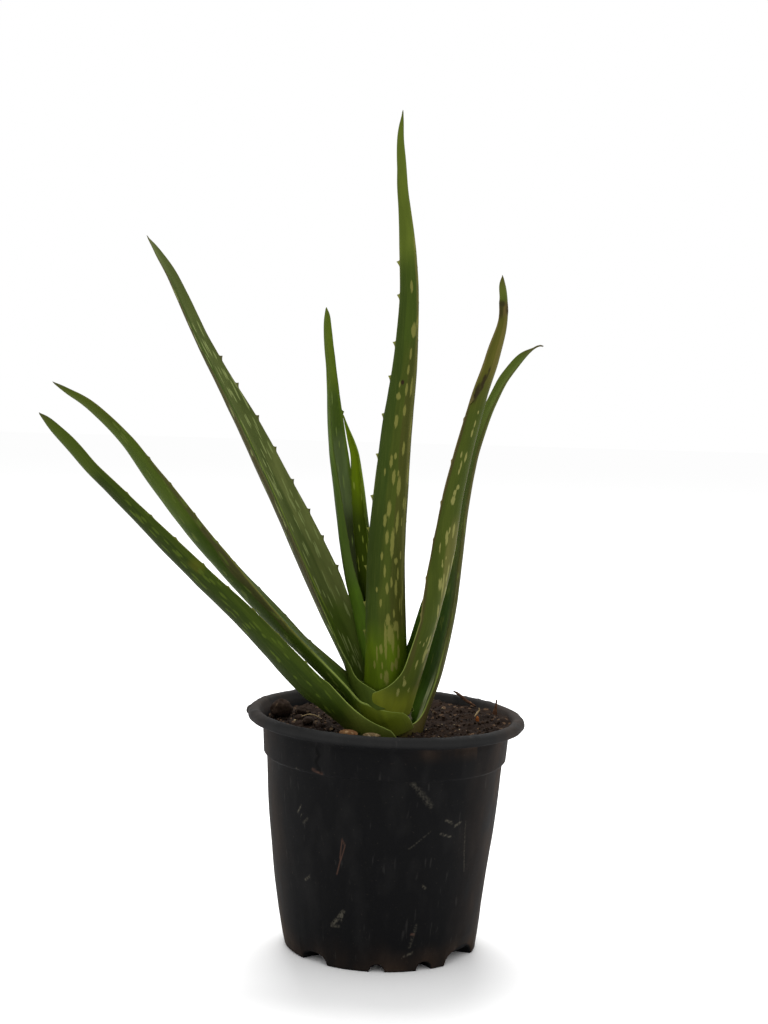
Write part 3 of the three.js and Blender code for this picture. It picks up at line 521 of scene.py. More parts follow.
def catmull(points, t):
    """Uniform Catmull-Rom through points, t from 0 to 1: the cubic whose slope at each point is half
    the step between its neighbours. The ends mirror their neighbour. Returns places and directions."""
    points = np.asarray(points, float)
    spans = len(points) - 1
    ext = np.vstack([2 * points[0] - points[1], points, 2 * points[-1] - points[-2]])
    x = np.clip(t, 0, 1) * spans
    i = np.minimum(np.floor(x).astype(int), spans - 1)
    w = (x - i)[:, None]
    p0, p1, p2, p3 = ext[i], ext[i + 1], ext[i + 2], ext[i + 3]
    v1, v2 = (p2 - p0) / 2, (p3 - p1) / 2
    a, b = 2 * p1 - 2 * p2 + v1 + v2, 3 * p2 - 3 * p1 - 2 * v1 - v2
    return a * w ** 3 + b * w ** 2 + v1 * w + p1, unit(3 * a * w ** 2 + 2 * b * w + v1)


def draws(state):
    """Endless repeatable draws from 0 to 1: each state is a fixed multiple of the last, plus a step."""
    while True:
        state = (state * 1664525 + 1013904223) % 2 ** 32
        yield state / 2 ** 32


def leaf_teeth(leaf, order):
    """Places (side, run, height) of the teeth: from the seen list, or a pitch with seeded draws.

    Where one margin is seen, the other carries teeth of two fifths the height; where none is, both
    carry teeth of three fifths. Heights vary by up to 15% and the steps between teeth by up to 12%."""
    seen_side, seen_runs = leaf.get("seen", (0, []))
    height = leaf["teeth"]["height"]
    teeth = [(seen_side, run, height) for run in seen_runs]
    draw = draws(11 + order)
    for side in (-1, 1):
        run = leaf["teeth"]["first"]
        while side != seen_side and run < leaf["teeth"]["last"] * leaf["length"]:
            teeth.append((side, run, height * (0.4 if seen_side else 0.6) * (0.85 + 0.3 * next(draw))))
            run += leaf["teeth"]["pitch"] * (0.88 + 0.24 * next(draw))
    return teeth


def eased(table, share):
    """A table given at STATIONS, read in straight lines and softened over 6% of the length."""
    dense = np.linspace(-0.2, 1.2, 1401)
    window = np.hanning(61)
    soft = np.convolve(np.interp(dense, STATIONS, table), window / window.sum(), "same")
    return np.interp(share, dense, soft)


def leaf_axes(leaf, run):
    """Frame and section along the spine at each run, as a dict of arrays.

    up is the inward direction square to the spine, across is spine x up, and both are turned by
    the twist. The half width is girth * width/2 * sin(pi/2 * (1-share)^taper), opened to the
    sheath by hold = exp(-(run/clasp)^grip); the half angle goes from wrap to fold by the same
    hold. sway moves the spine to the right, square to its slope. The tip is rounded by
    sqrt(1 - share^TIP_POWER). The blade thins over its upper half, by ((1.02 - share)/0.5)^0.7."""
    t = np.linspace(0, 1, 1500)
    path, _ = catmull(leaf["spine"], t)
    dense = np.concatenate([[0], np.cumsum(np.linalg.norm(np.diff(path, axis=0), axis=1))])
    leaf["length"] = dense[-1]
    place_mm, along = catmull(leaf["spine"], np.interp(run, dense, t))
    share = run / dense[-1]
    azimuth = math.radians(leaf["azimuth"])
    inward = np.array([-math.cos(azimuth), -math.sin(azimuth), 0])
    up = unit(inward - (along @ inward)[:, None] * along)
    across = np.cross(along, up)
    twist = np.radians(np.interp(share, *np.array(leaf["twist"], float).T))[:, None]
    up, across = up * np.cos(twist) + across * np.sin(twist), across * np.cos(twist) - up * np.sin(twist)
    right = unit(stack(along[:, 2], 0, -along[:, 0]))
    place_mm = place_mm + right * eased(leaf["sway"], share)[:, None]
    hold = np.exp(-(run / leaf["clasp"]) ** leaf["grip"])
    half = leaf["width"] / 2 * np.sin(np.pi / 2 * np.clip(1 - share, 0, 1) ** leaf["taper"])
    half = half * eased(leaf["girth"], share) + (leaf["sheath"] - leaf["width"]) / 2 * hold
    half = np.maximum(half, LEAST_HALF) * np.sqrt(np.clip(1 - share ** TIP_POWER, 0.03, 1))
    fold = leaf["fold"] + (leaf["fold_tip"] - leaf["fold"]) * share
    fold = np.radians(fold + (leaf["wrap"] - fold) * hold)
    thick = np.maximum(leaf["thick"] * np.minimum(1, (1.02 - share) / 0.5) ** 0.7, LEAST_THICK)
    thick = np.minimum(thick, np.maximum(1.8 * half, 0.2))
    return {"place": place_mm, "along": along, "up": up, "across": across, "half": half, "fold": fold,
            "thick": thick, "share": share}


def leaf_skin(axes, theta):
    """The arc-band section at each ring: u = cos(theta) runs across the channel, the lift
    thick/2 * sign(sin) * |sin|^1.15 stands off its middle line, and the band bends round the
    radius half/fold. Returns points of shape (rings, sides, 3)."""
    u = np.cos(theta)[None]
    s = np.sin(theta)
    lift = axes["thick"][:, None] / 2 * np.sign(s) * np.abs(s) ** 1.15
    radius = (axes["half"] / axes["fold"])[:, None]
    angle = axes["fold"][:, None] * u
    rise = radius * (1 - np.cos(angle)) + lift * np.cos(angle)
    side = (radius - lift) * np.sin(angle)
    inward = axes["up"][:, None] * rise[..., None]
    return axes["place"][:, None] + inward + axes["across"][:, None] * side[..., None]


def spots(run, across_mm, face, marks):
    """Height of the tallest of many soft oval marks, each on one face: 1 - (dr/a)^2 - (dc/b)^2.

    That is 1 at its middle and 0 at its rim, and -1 is the least. marks holds rows of (face, run,
    across in mm, half length a, half width b)."""
    field = np.full(run.shape, -1.0)
    for side, r, c, a, b in marks:
        near = np.abs(run[:, 0] - r) < 1.4 * a      # further off, a mark is as good as at its least
        if not near.any():
            continue
        dome = 1 - ((run[near] - r) / a) ** 2 - ((across_mm[near] - c) / b) ** 2
        dome = np.where(face[near] * side > 0, dome, -1)
        field[near] = np.maximum(field[near], dome)
    return field


def fleck_marks(leaf, look, axes, draw):
    """Seeded oval flecks: across by a normal draw round the middle, along as an even draw to the
    power 1.25, which puts them a little closer together towards the base. Lengths are 0.6 to 1.4
    times the list's, and widths 0.75 to 1.25 times."""
    marks = []
    for face, count, middle, spread, first, last, long, wide in look["flecks"]:
        share = first + (last - first) * draw.random(count) ** 1.25
        u = np.clip(middle + spread * draw.standard_normal(count), -0.97, 0.97)
        half = np.interp(share, axes["share"], axes["half"])
        size = 0.6 + 0.8 * draw.random(count)
        slim = 0.75 + 0.5 * draw.random(count)
        rows = zip(np.full(count, face), share * leaf["length"], u * half, size * long / 2, slim * wide / 2)
        marks += list(rows)
    return marks


def band_mask(band, u, share, upper, drift):
    """1 inside a band of a leaf and 0 outside, with edges that drift moves a little.

    The edges are 0.1 wide across. Along the leaf they are 0.16 wide on the longest bands, 0.06 on
    others and 0.02 on the shortest."""
    face, low, high, first, last, _, strength = band
    u = u + 0.08 * drift
    across = smooth(low - 0.05, low + 0.05, u) * (1 - smooth(high - 0.05, high + 0.05, u))
    soft = 0.08 if last - first > 0.6 else 0.03 if last - first > 0.06 else 0.01
    s = share + 0.012 * drift
    along = smooth(first - soft, first + soft, s) * (1 - smooth(last - soft, last + soft, s))
    side = {-1: 1 - upper, 0: 1.0, 1: upper}[face]
    return strength * across * along * side


def leaf_runs(length, teeth):
    """Where the rings stand, in mm from the base: RING_STEP apart, with more at each tooth."""
    steps = [np.linspace(0, length, int(length / RING_STEP))]
    steps += [run + TOOTH_RINGS for _, run, _ in teeth]
    run = np.unique(np.clip(np.concatenate(steps), 0, length))
    return run[np.concatenate([[True], np.diff(run) > LEAST_STEP])]


def scar_dips(scars, axes, length, grid, seed):
    """Darkness and depth of the scars, which lie on the outside of a leaf.

    Each is exp(-(2 dr/long)^2 - (2 dc/wide)^2), where dr and dc are the way from its middle along
    and across, times a ragged factor from noise."""
    ragged = 1 + 0.35 * noise(stack(grid["run"] / 1.6, grid["across"] / 1.2, grid["face"] * 2), seed)
    dark = np.zeros_like(grid["across"])
    dip = np.zeros_like(grid["across"])
    for share, middle, long, wide, depth, strength in scars:
        centre = middle * np.interp(share, axes["share"], axes["half"])
        off = (grid["run"] - share * length) / long * 2
        dome = np.exp(-off ** 2 - ((grid["across"] - centre) / wide * 2) ** 2)
        dome = np.clip(dome * ragged, 0, 1) * (grid["face"] < 0.5)
        dark = np.maximum(dark, strength * smooth(0.25, 0.75, dome))
        dip = dip + depth * dome
    return dark, dip


def tooth_rise(teeth, grid):
    """Height of the teeth over the margin: height * (1 - |off|/flank)^1.7, so the flanks are concave.

    The flank is longer towards the base, and the tooth fades round the margin as exp(-(sin/0.15)^2)."""
    tooth = np.zeros_like(grid["across"])
    for side, middle, height in teeth:
        off = grid["run"] - middle
        flank = np.where(off < 0, *TOOTH_FLANKS)
        rise = height * np.clip(1 - np.abs(off) / flank, 0, 1) ** 1.7
        on_margin = np.exp(-((np.abs(grid["sine"]) / 0.15) ** 2)) * (grid["u"] * side > 0)
        tooth = np.maximum(tooth, rise * on_margin)
    return tooth


def margin_outward(axes, grid):
    """The way out of the leaf at its margins, leaning a little to the tip: up * sin(fold), across *
    cos(fold) to the margin's side, and 0.35 along the spine."""
    outward = axes["up"][:, None] * np.sin(axes["fold"])[:, None, None]
    sideways = axes["across"][:, None] * np.cos(axes["fold"])[:, None, None]
    return outward + np.sign(grid["u"])[..., None] * sideways + axes["along"][:, None] * 0.35


def make_leaf(name, order):
    """One leaf: the section carried along its spine, with toothed margins, soft ripples and scars."""
    leaf, look = LEAVES[name], LOOKS[name]
    draw = np.random.default_rng(40 + order)
    leaf_axes(leaf, np.array([0.0]))        # this works out the length, which the teeth need
    length = leaf["length"]
    teeth = leaf_teeth(leaf, order)
    run = leaf_runs(length, teeth)
    axes = leaf_axes(leaf, run)
    even = 2 * np.pi * np.arange(LEAF_SIDES) / LEAF_SIDES
    theta = even + 0.22 * np.sin(2 * even)      # points stand closer at the two margins
    rings = leaf_skin(axes, theta)
    u, sine, half, run_mm, share = np.broadcast_arrays(
        np.cos(theta)[None], np.sin(theta)[None], axes["half"][:, None], run[:, None],
        axes["share"][:, None])
    grid = {"u": u, "sine": sine, "run": run_mm, "across": u * half, "face": np.sign(sine)}

    # Long soft ripples down the blade, finer ones beside them, and dips at the scars.
    wave = noise(stack(run_mm / 30, grid["across"] / 7, grid["face"] * 3.0), 5 + order)
    fine = noise(stack(run_mm / 9, grid["across"] / 2.6, grid["face"] * 3.0), 25 + order)
    scar, dip = scar_dips(look.get("scars", ()), axes, length, grid, 60 + order)
    swell = (RIPPLES[0] * wave + RIPPLES[1] * fine) * smooth(0, 0.12, 1 - share) - dip
    rings = rings + ring_normals(rings) * swell[..., None]
    tooth = tooth_rise(teeth, grid)
    rings = rings + margin_outward(axes, grid) * tooth[..., None]

    # The rim is pale low down on the five clasping leaves (line) and brownish elsewhere (edge).
    upper = smooth(-0.1, 0.1, sine)
    edge = 1 - smooth(0.08, 0.4, (1 - np.abs(u)) * half)
    low = (1 - smooth(0.16, 0.3, share)) * (leaf["sheath"] > 40)
    marks = fleck_marks(leaf, look, axes, draw)
    marks += [(-1, r, c, 0.56 * long, 0.4 * wide) for r, c, long, wide in MARKS.get(name, ())]
    fields = {
        "skin": stack(grid["across"], run_mm, grid["face"] * 20),
        "fleck": spots(run_mm, grid["across"], grid["face"], marks),
        "scar": scar,
        "line": edge * low,
        "edge": np.maximum(0.75 * edge * (1 - low) * smooth(0, 0.1, 1 - share), np.clip(tooth * 1.1, 0, 1)),
        "upper": upper,
    }
    for i, band in enumerate(look["bands"]):
        fields["band_%d" % i] = band_mask(band, u, share, upper, wave + 0.5 * fine)
    piece = tube_mesh(name + "_skin", rings[:, ::-1], {k: v[:, ::-1] for k, v in fields.items()})
    place(piece, leaf_material(name, look), look["slot"], name)


def leaf_material(name, look):
    """Aloe leaf skin: waxy and satin, with pale flecks, faint lengthwise streaks and corky scars.

    Wax has an index of 1.45; it is brought down to 1.15, and the roughness is near 0.6, because the
    bloom on the wax leaves only a soft sheen."""
    material, tree, shader = new_material("waxy_" + name)
    mask = {k: add(tree, "Attribute", out="Fac", attribute_name=k)
            for k in ("fleck", "scar", "edge", "line", "upper")}
    skin = add(tree, "Attribute", out="Vector", attribute_name="skin")
    # Streaks are 0.7 mm across and about 16 mm long, clouds 6 by 40 mm, and the ragged edges of the
    # flecks 0.6 by 2.5 mm.
    fine = add(tree, "Mapping", {"Vector": skin, "Scale": (1.4, 0.06, 1)})
    streak = add(tree, "TexNoise", {"Vector": fine, "Scale": 1.0, "Detail": 3.0})
    wide = add(tree, "Mapping", {"Vector": skin, "Scale": (0.16, 0.026, 1)})
    cloud = add(tree, "TexNoise", {"Vector": wide, "Scale": 1.0, "Detail": 2.0})
    torn = add(tree, "Mapping", {"Vector": skin, "Scale": (1.7, 0.4, 1)})
    torn = add(tree, "TexNoise", {"Vector": torn, "Scale": 1.0, "Detail": 2.0})
    ragged = add(tree, "Math", {0: torn, 1: 1.4}, operation="MULTIPLY")
    ragged = add(tree, "Math", {0: mask["fleck"], 1: ragged}, operation="SUBTRACT")
    fleck = add(tree, "MapRange", {0: ragged, 1: -0.68, 2: -0.15, 4: 0.82})
    dark = add(tree, "MapRange", {0: cloud, 1: 0.42, 2: 0.62, 4: 0.3})
    light = add(tree, "MapRange", {0: streak, 1: 0.5, 2: 0.72, 4: 0.12})
    layers = [(mask["upper"], paint(look["base"][1]))]
    for i, band in enumerate(look["bands"]):
        inside = add(tree, "Attribute", out="Fac", attribute_name="band_%d" % i)
        layers.append((inside, paint(band[5])))
    layers += [(dark, paint("#27340d")), (light, paint("#6b7040")), (fleck, paint(look["fleck"])),
               (mask["line"], paint("#8a975a")), (mask["edge"], paint(look.get("rim", "#6b6a3a"))),
               (mask["scar"], paint(look.get("scab", "#2e2018")))]
    base = laid_over(tree, paint(look["base"][0]), layers)
    sheen = add(tree, "MapRange", {0: streak, 3: 0.5, 4: 0.7})
    height = add(tree, "Math", {0: streak, 1: fleck}, operation="ADD")
    bump = add(tree, "Bump", {"Height": height, "Strength": 0.2, "Distance": 0.0002})
    fill(tree, shader, {"Base Color": base, "Roughness": sheen, "IOR": 1.15, "Normal": bump})
    return material


# ------------------------------------------------------------------ pot

def settled(points):
    """The soft pot has settled: the rim dips towards +X, by rim_dip from side to side, and less lower
    down; the -X side is pushed out by dent * cos^3 of the way round * a belly over the height."""
    x, y, z = points[..., 0], points[..., 1], points[..., 2]
    rise = z / POT["height"]
    radius = np.maximum(np.hypot(x, y), 1)
    facing = np.maximum(0, -x / radius)
    belly = np.sin(np.pi * np.clip(rise, 0, 1) ** 0.6)
    push = POT["dent"] * facing ** 3 * belly * radius / POT["lip"]
    return stack(x - push, y, z - POT["rim_dip"] / (2 * POT["lip"]) * x * rise)


def arch_height(azimuth, radius):
    """Roof of the drainage channels above the floor: height * sqrt(1 - (offset/half width)^2)."""
    roof = np.zeros(np.broadcast(azimuth, radius).shape)
    for middle, width, height in ARCHES:
        off = (azimuth - math.radians(middle) + np.pi) % (2 * np.pi) - np.pi
        arch = height * np.sqrt(np.clip(1 - (off / math.radians(width / 2)) ** 2, 0, 1))
        roof = np.maximum(roof, arch)
    return roof * (radius > ARCH_START)


def pot_azimuths():
    """Azimuths round the pot: every 0.45 degrees in front, wider elsewhere, and close by each arch."""
    turns = [np.radians(np.arange(-138, -39, 0.45)), np.radians(np.arange(-39, 222, 1.5))]
    for middle, width, _ in ARCHES:
        for end in (-1, 1):
            turns.append(np.radians(middle + end * (width / 2 - np.array([-0.06, 0.03, 0.25]))))
    return np.unique(np.concatenate(turns) % (2 * np.pi))


def resample(profile, step):
    """Points on a smooth curve through a profile of (radius, z), about step mm apart."""
    points = np.column_stack([profile, np.zeros(len(profile))])
    path, _ = catmull(points, np.linspace(0, 1, 400))
    run = np.concatenate([[0], np.cumsum(np.linalg.norm(np.diff(path, axis=0), axis=1))])
    wanted = np.linspace(0, run[-1], max(2, int(run[-1] / step)))
    return np.column_stack([np.interp(wanted, run, path[:, 0]), np.interp(wanted, run, path[:, 1])])


def scuffs(azimuth, z, strokes):
    """Soft thin strokes on the wall: 1 - distance/width to each segment, in mm along wall and up."""
    along = azimuth * WALL_RADIUS
    field = np.zeros(np.broadcast(azimuth, z).shape)
    for x0, z0, x1, z1, width in strokes:
        dx, dz = x1 - x0, z1 - z0
        t = np.clip(((along - x0) * dx + (z - z0) * dz) / (dx * dx + dz * dz), 0, 1)
        gap = np.hypot(along - x0 - t * dx, z - z0 - t * dz)
        field = np.maximum(field, 1 - gap / width)
    return np.clip(field, 0, 1)


# Marks on the front wall, in mm right of its middle and above the floor: x0, z0, x1, z1, half width.
# Scuffs are rubbed pale; earth, a dry rootlet (THREAD) and the shade in a dent, painted near black, are
# colour only.
PALE_SCUFFS = [(-27, 24, -20.5, 32, 1.6), (-28, 23.3, -23, 23.6, 0.8), (-20.5, 32, -22, 26, 0.7),
               (-44, 45, -41, 47.5, 1.0), (-46.5, 81, -44, 85, 0.7), (-44.5, 79, -43.7, 80.7, 0.5),
               (32, 82.6, 36, 80.6, 0.9), (29.5, 75.3, 36, 73, 0.8), (38, 78.7, 41.7, 80.3, 1.0),
               (21.7, 47.5, 23.5, 46.2, 1.0), (14, 9, 19, 10.6, 1.0), (-45, 105, -43.7, 104.3, 0.7)]
FAINT_SCUFFS = [(13.5, 103, 18, 98, 2.4), (17, 99, 23, 91, 2.8), (13, 68, 24, 77, 0.7),
                (45, 80, 46.5, 66, 0.8), (46.5, 66, 48.5, 52, 0.9), (17, 14, 20, 26, 1.6),
                (-43, 76, -40, 79, 1.2)]
EARTH_SCUFFS = [(17.4, 21.2, 19.2, 20.6, 0.8), (-34.7, 106.2, -29.8, 104.9, 0.9)]
# Painted shade: the inside of a dent, near black.
DENT_SHADE = [(-32.7, 118, -31.2, 114.2, 1.5), (-31.2, 114.2, -33, 110.7, 1.2), (-33, 110.7, -30.3, 105.4, 0.9)]
THREAD = [(-20.5, 71, -19, 68, 0.5), (-20.5, 71, -21.8, 61, 0.45), (-19, 68, -21.3, 60, 0.45),
          (-21.3, 61, -23.7, 52, 0.5)]


def pot_profile():
    """The pot's section as columns of radius, height and part: from the underside up the outer wall,
    over the lip and down to the inner floor."""
    outer = resample(OUTER_WALL[:5], 1.0)[1:-1]
    upper = np.vstack([COLLAR_STEP, resample(COLLAR, 1.0), resample(LIP, 0.7)[1:], resample(INNER_WALL, 4.0)])
    rows = [(radius, 0.0, "under") for radius in UNDERSIDE_RADII]
    rows += [(radius, z, "outside") for radius, z in np.vstack([FOOT, outer])]
    rows += [(radius, z, "upper") for radius, z in upper]
    rows += [(radius, POT["floor"], "floor") for radius in FLOOR_RADII]
    return [np.array(column)[:, None] for column in zip(*rows)]


def pot_fields(azimuth, radius, z):
    """How dusty, scuffed and marked the wall is at each point: dust behind, at the foot and under the lip
    on the right, dust with painted reflection at the sides, and the marks of the tables on the front,
    where the dark dent is painted shade. The top of the lip is painted lighter, as top light."""
    # front: radians from the middle of the front wall, to the right.
    front = (azimuth + np.pi / 2 + np.pi) % (2 * np.pi) - np.pi
    out = radius > np.interp(z, OUTER_WALL[:, 1], OUTER_WALL[:, 0]) - POT["wall"] / 2
    drift = ring_noise(azimuth, z, 5, 30, 9)
    # The lighter brown at the sides is partly dust and partly a painted reflection of the white surround.
    sides = smooth(0.75, 1.5, np.abs(front + 0.12 + 0.1 * drift)) * smooth(2.4, 1.7, np.abs(front))
    behind = smooth(1.7, 2.4, np.abs(front)) * 0.4
    foot = (1 - smooth(0, 18, z + 6 * drift)) * (0.7 + 0.8 * smooth(-0.2, 0.3, front))
    under_lip = smooth(112, 120, z) * (1 - smooth(120.5, 122, z))
    under_lip = 0.8 * under_lip * smooth(0.1, 0.35, front) * (front < 0.8)
    return {
        "dust_and_sheen": np.clip(sides + behind + foot + under_lip, 0, 1.5) * out,
        "scuff": np.maximum(scuffs(front, z, PALE_SCUFFS), 0.5 * scuffs(front, z, FAINT_SCUFFS)) * out,
        "thread": scuffs(front, z, THREAD + EARTH_SCUFFS) * out,
        "dent_shade": scuffs(front, z, DENT_SHADE) * out,
        # The top of the lip is painted lighter: painted top light.
        "lip_top_light": smooth(123.0, 125.5, z),
    }


def make_pot():
    """A lathe whose foot is lifted by the drainage arches, closed from underside to inner floor.

    The outer wall is lifted by roof * (1 - z/ARCH_FADE). It ripples softly by noise. The worn lip
    waves a little and is nicked on top by noise, and its burr stands out by
    height * exp(-((azimuth - its own)/width)^2)."""
    azimuth = pot_azimuths()[None]
    radius, z, part = pot_profile()
    radius, z = radius + 0 * azimuth, z + 0 * azimuth
    roof = arch_height(azimuth, radius)
    lifted = z + roof * np.clip(1 - z / ARCH_FADE, 0, 1)
    z = np.where(part == "under", roof, np.where(part == "outside", lifted, z))
    z = np.where(part == "floor", np.maximum(POT["floor"], roof + ARCH_SKIN * (roof > 0) + 0.4), z)
    ripple = 0.45 * ring_noise(azimuth, z, 3, 34, 3) + 0.07 * ring_noise(azimuth, z, 16, 9, 4)
    radius = radius + ripple * smooth(0, 20, z) * (z < LIP_FOOT - 2)
    nick = ring_noise(azimuth, z, 26, np.inf, 8)
    z = z + (z > LIP_FOOT + 5) * 0.4 * nick * smooth(0.1, 0.7, nick)
    wave = 0.3 * ring_noise(azimuth, z, 9, np.inf, 12)
    burr = BURR["height"] * np.exp(-((azimuth - BURR["azimuth"]) / BURR["width"]) ** 2) * (radius > 72)
    radius = radius + smooth(LIP_FOOT, LIP_FOOT + 3, z) * (wave + burr)
    points = settled(round_axis(radius, azimuth, z))
    piece = tube_mesh("pot_shell", points, pot_fields(azimuth, radius, z))
    turn = np.linspace(0, 2 * np.pi, 24, endpoint=False)[None]
    for number, (middle, _, _) in enumerate(ARCHES):
        centre = [DRAIN["ring"] * f(math.radians(middle)) for f in (math.cos, math.sin)]
        bore = round_axis(DRAIN["radius"], turn, DRAIN_ENDS, centre)
        drill(piece, tube_mesh("bore_%d" % number, bore))
    place(piece, pot_material(), "pot_plastic", "pot")


def drill(piece, cutter):
    """Cuts the cutter out of a piece by a Boolean, which is applied at once, and removes the cutter."""
    cut = piece.modifiers.new("bore", "BOOLEAN")
    cut.operation, cut.solver, cut.object = "DIFFERENCE", "EXACT", cutter
    drilled = bpy.data.meshes.new_from_object(piece.evaluated_get(bpy.context.evaluated_depsgraph_get()))
    piece.modifiers.clear()
    piece.data = drilled
    bpy.data.objects.remove(cutter)


def pot_material():
    """Moulded black polypropylene: satin, greyed by handling, with brown dust, scuffs and scratches,
    and with painted light: a reflection at the sides, a lighter top of the lip and a dent's shade.

    The plastic's index is 1.49; the dull film of a used pot brings it down to 1.14 here."""
    material, tree, shader = new_material("black_polypropylene")
    mask = {k: add(tree, "Attribute", out="Fac", attribute_name=k)
            for k in ("dust_and_sheen", "scuff", "thread", "dent_shade", "lip_top_light")}
    where = add(tree, "TexCoord", out="Object")
    # Dust clouds are 12 by 28 mm and run down the wall, and grit is 1 mm and finer. Fine scratches are
    # thinner than a pixel, which is about 0.5 mm on the wall, so they are drawn coarser: they are the
    # peaks of leaning cells, 2.4 mm wide and 17 mm long.
    cloud = add(tree, "Mapping", {"Vector": where, "Scale": (80, 80, 36)})
    cloud = add(tree, "TexNoise", {"Vector": cloud, "Scale": 1.0, "Detail": 5.0})
    grit = add(tree, "TexNoise", {"Vector": where, "Scale": 900.0, "Detail": 2.0})
    thin = add(tree, "Mapping", {"Vector": where, "Scale": (420, 420, 60), "Rotation": (0.4, 0.2, 0)})
    thin = add(tree, "TexNoise", {"Vector": thin, "Scale": 1.0, "Detail": 2.0})
    film = add(tree, "MapRange", {0: cloud, 1: 0.3, 2: 0.8})
    dust_and_sheen = add(tree, "Math", {0: film, 1: mask["dust_and_sheen"]}, operation="MULTIPLY")
    dust_and_sheen = add(tree, "Math", {0: dust_and_sheen, 1: 0.22}, operation="MULTIPLY")
    haze = add(tree, "MapRange", {0: cloud, 1: 0.5, 2: 0.75, 4: 0.05})
    speck = add(tree, "MapRange", {0: grit, 1: 0.69, 2: 0.76, 4: 0.06})
    scratch = add(tree, "MapRange", {0: thin, 1: 0.66, 2: 0.74, 4: 0.05})
    worn = add(tree, "MapRange", {0: grit, 1: 0.25, 2: 0.6})
    rub = add(tree, "Math", {0: mask["scuff"], 1: worn}, operation="MULTIPLY")
    rub = add(tree, "MapRange", {0: rub, 1: 0.1, 2: 0.7, 4: 0.19})
    base = laid_over(tree, linear("#0d0d0e"), [
        # Painted top light on the top of the lip.
        (mask["lip_top_light"], linear("#222222")),
        (haze, linear("#5c5a58")),
        # Brown dust, with a painted reflection at the sides.
        (dust_and_sheen, linear("#664e3a")),
        (scratch, linear("#75726e")),
        (speck, linear("#85786a")),
        (rub, linear("#8a8474")),
        (mask["thread"], linear("#45322a")),
        # Painted shade in a dent.
        (mask["dent_shade"], linear("#050505")),
    ])
    rough = add(tree, "MapRange", {0: cloud, 3: 0.55, 4: 0.85})
    height = add(tree, "Math", {0: grit, 1: mask["scuff"]}, operation="ADD")
    bump = add(tree, "Bump", {"Height": height, "Strength": 0.2, "Distance": 0.0001})
    fill(tree, shader, {"Base Color": base, "Roughness": rough, "IOR": 1.14, "Normal": bump})
    return material


# ------------------------------------------------------------------ soil, stem and loose pieces

def soil_relief(x, y):
    """Height over the soil's level before the pot settled: heap * (x/reach)^2 to +X, a dish of
    -dish * exp(-(distance/dish_radius)^2) at the stem, and sine waves for lumps and crumbs. level
    makes up for the rim's dip, so that the soil itself lies level."""
    from_crown = np.hypot(x - CROWN[0], y - CROWN[1])
    level = POT["rim_dip"] / (2 * POT["lip"]) * x
    heap = SOIL["heap"] * (np.maximum(0, x) / SOIL["reach"]) ** 2
    dish = SOIL["dish"] * np.exp(-(from_crown / SOIL["dish_radius"]) ** 2)
    lumps = 0.7 * np.sin(x / 7.3 + 0.6) * np.cos(y / 6.1 - 0.4)
    crumbs = 0.4 * np.sin(x / 3.1 + y / 4.7) + 0.3 * np.cos(x / 2.3 - y / 2.9)
    return level + heap - dish + lumps + crumbs


def crumble(x, y):
    """Crumbs of the mix: noise with cells of 7, 3.2, 1.5 and 0.8 mm, smaller cells lower."""
    total = 0
    for cell, high, seed in ((7, 0.9, 1), (3.2, 0.75, 2), (1.5, 0.45, 3), (0.8, 0.22, 4)):
        total = total + high * noise(stack(x / cell, y / cell, 0 * x), 70 + seed)
    return total


def soil_top(x, y):
    """Height of the soil's surface in place, crumbs and the settled pot's dip included."""
    z = SOIL["level"] + soil_relief(x, y) + crumble(x, y)
    return settled(stack(x, y, z))[..., 2]


def make_soil():
    """A closed lathe inside the pot: a floor that clears the channels, a side, and a crumbly top.

    Towards its edge the top is spread outwards by up to half its relief."""
    azimuth = np.linspace(0, 2 * np.pi, 420, endpoint=False)[None]
    top = np.concatenate([np.arange(SOIL["edge"], 2, -0.7), [1.0]])
    radius = np.concatenate([SOIL_FLOOR_RADII, SOIL_SIDE[:, 0], top])[:, None] + 0 * azimuth
    level = np.concatenate([0 * SOIL_FLOOR_RADII, SOIL_SIDE[:, 1], 0 * top + SOIL["level"]])
    z = level[:, None] + 0 * azimuth
    row = np.arange(len(radius))[:, None]
    on_top = row >= len(radius) - len(top)
    floor = np.maximum(POT["floor"], arch_height(azimuth, radius) + ARCH_SKIN) + SOIL["clear"]
    z = np.where(row < len(SOIL_FLOOR_RADII), floor, z)
    x, y = radius * np.cos(azimuth), radius * np.sin(azimuth)
    relief = soil_relief(x, y)
    spread = np.where(on_top, 1 + relief * 0.5 / SOIL["edge"] * smooth(50, SOIL["edge"], radius), 1)
    z = np.where(on_top, z + relief + crumble(x, y), z)
    piece = tube_mesh("soil_bed", settled(stack(x * spread, y * spread, z)))
    place(piece, soil_material("peat_and_bark_mix", "#19120e", "#2a1f17", "#5a4634"), "potting_mix", "soil")


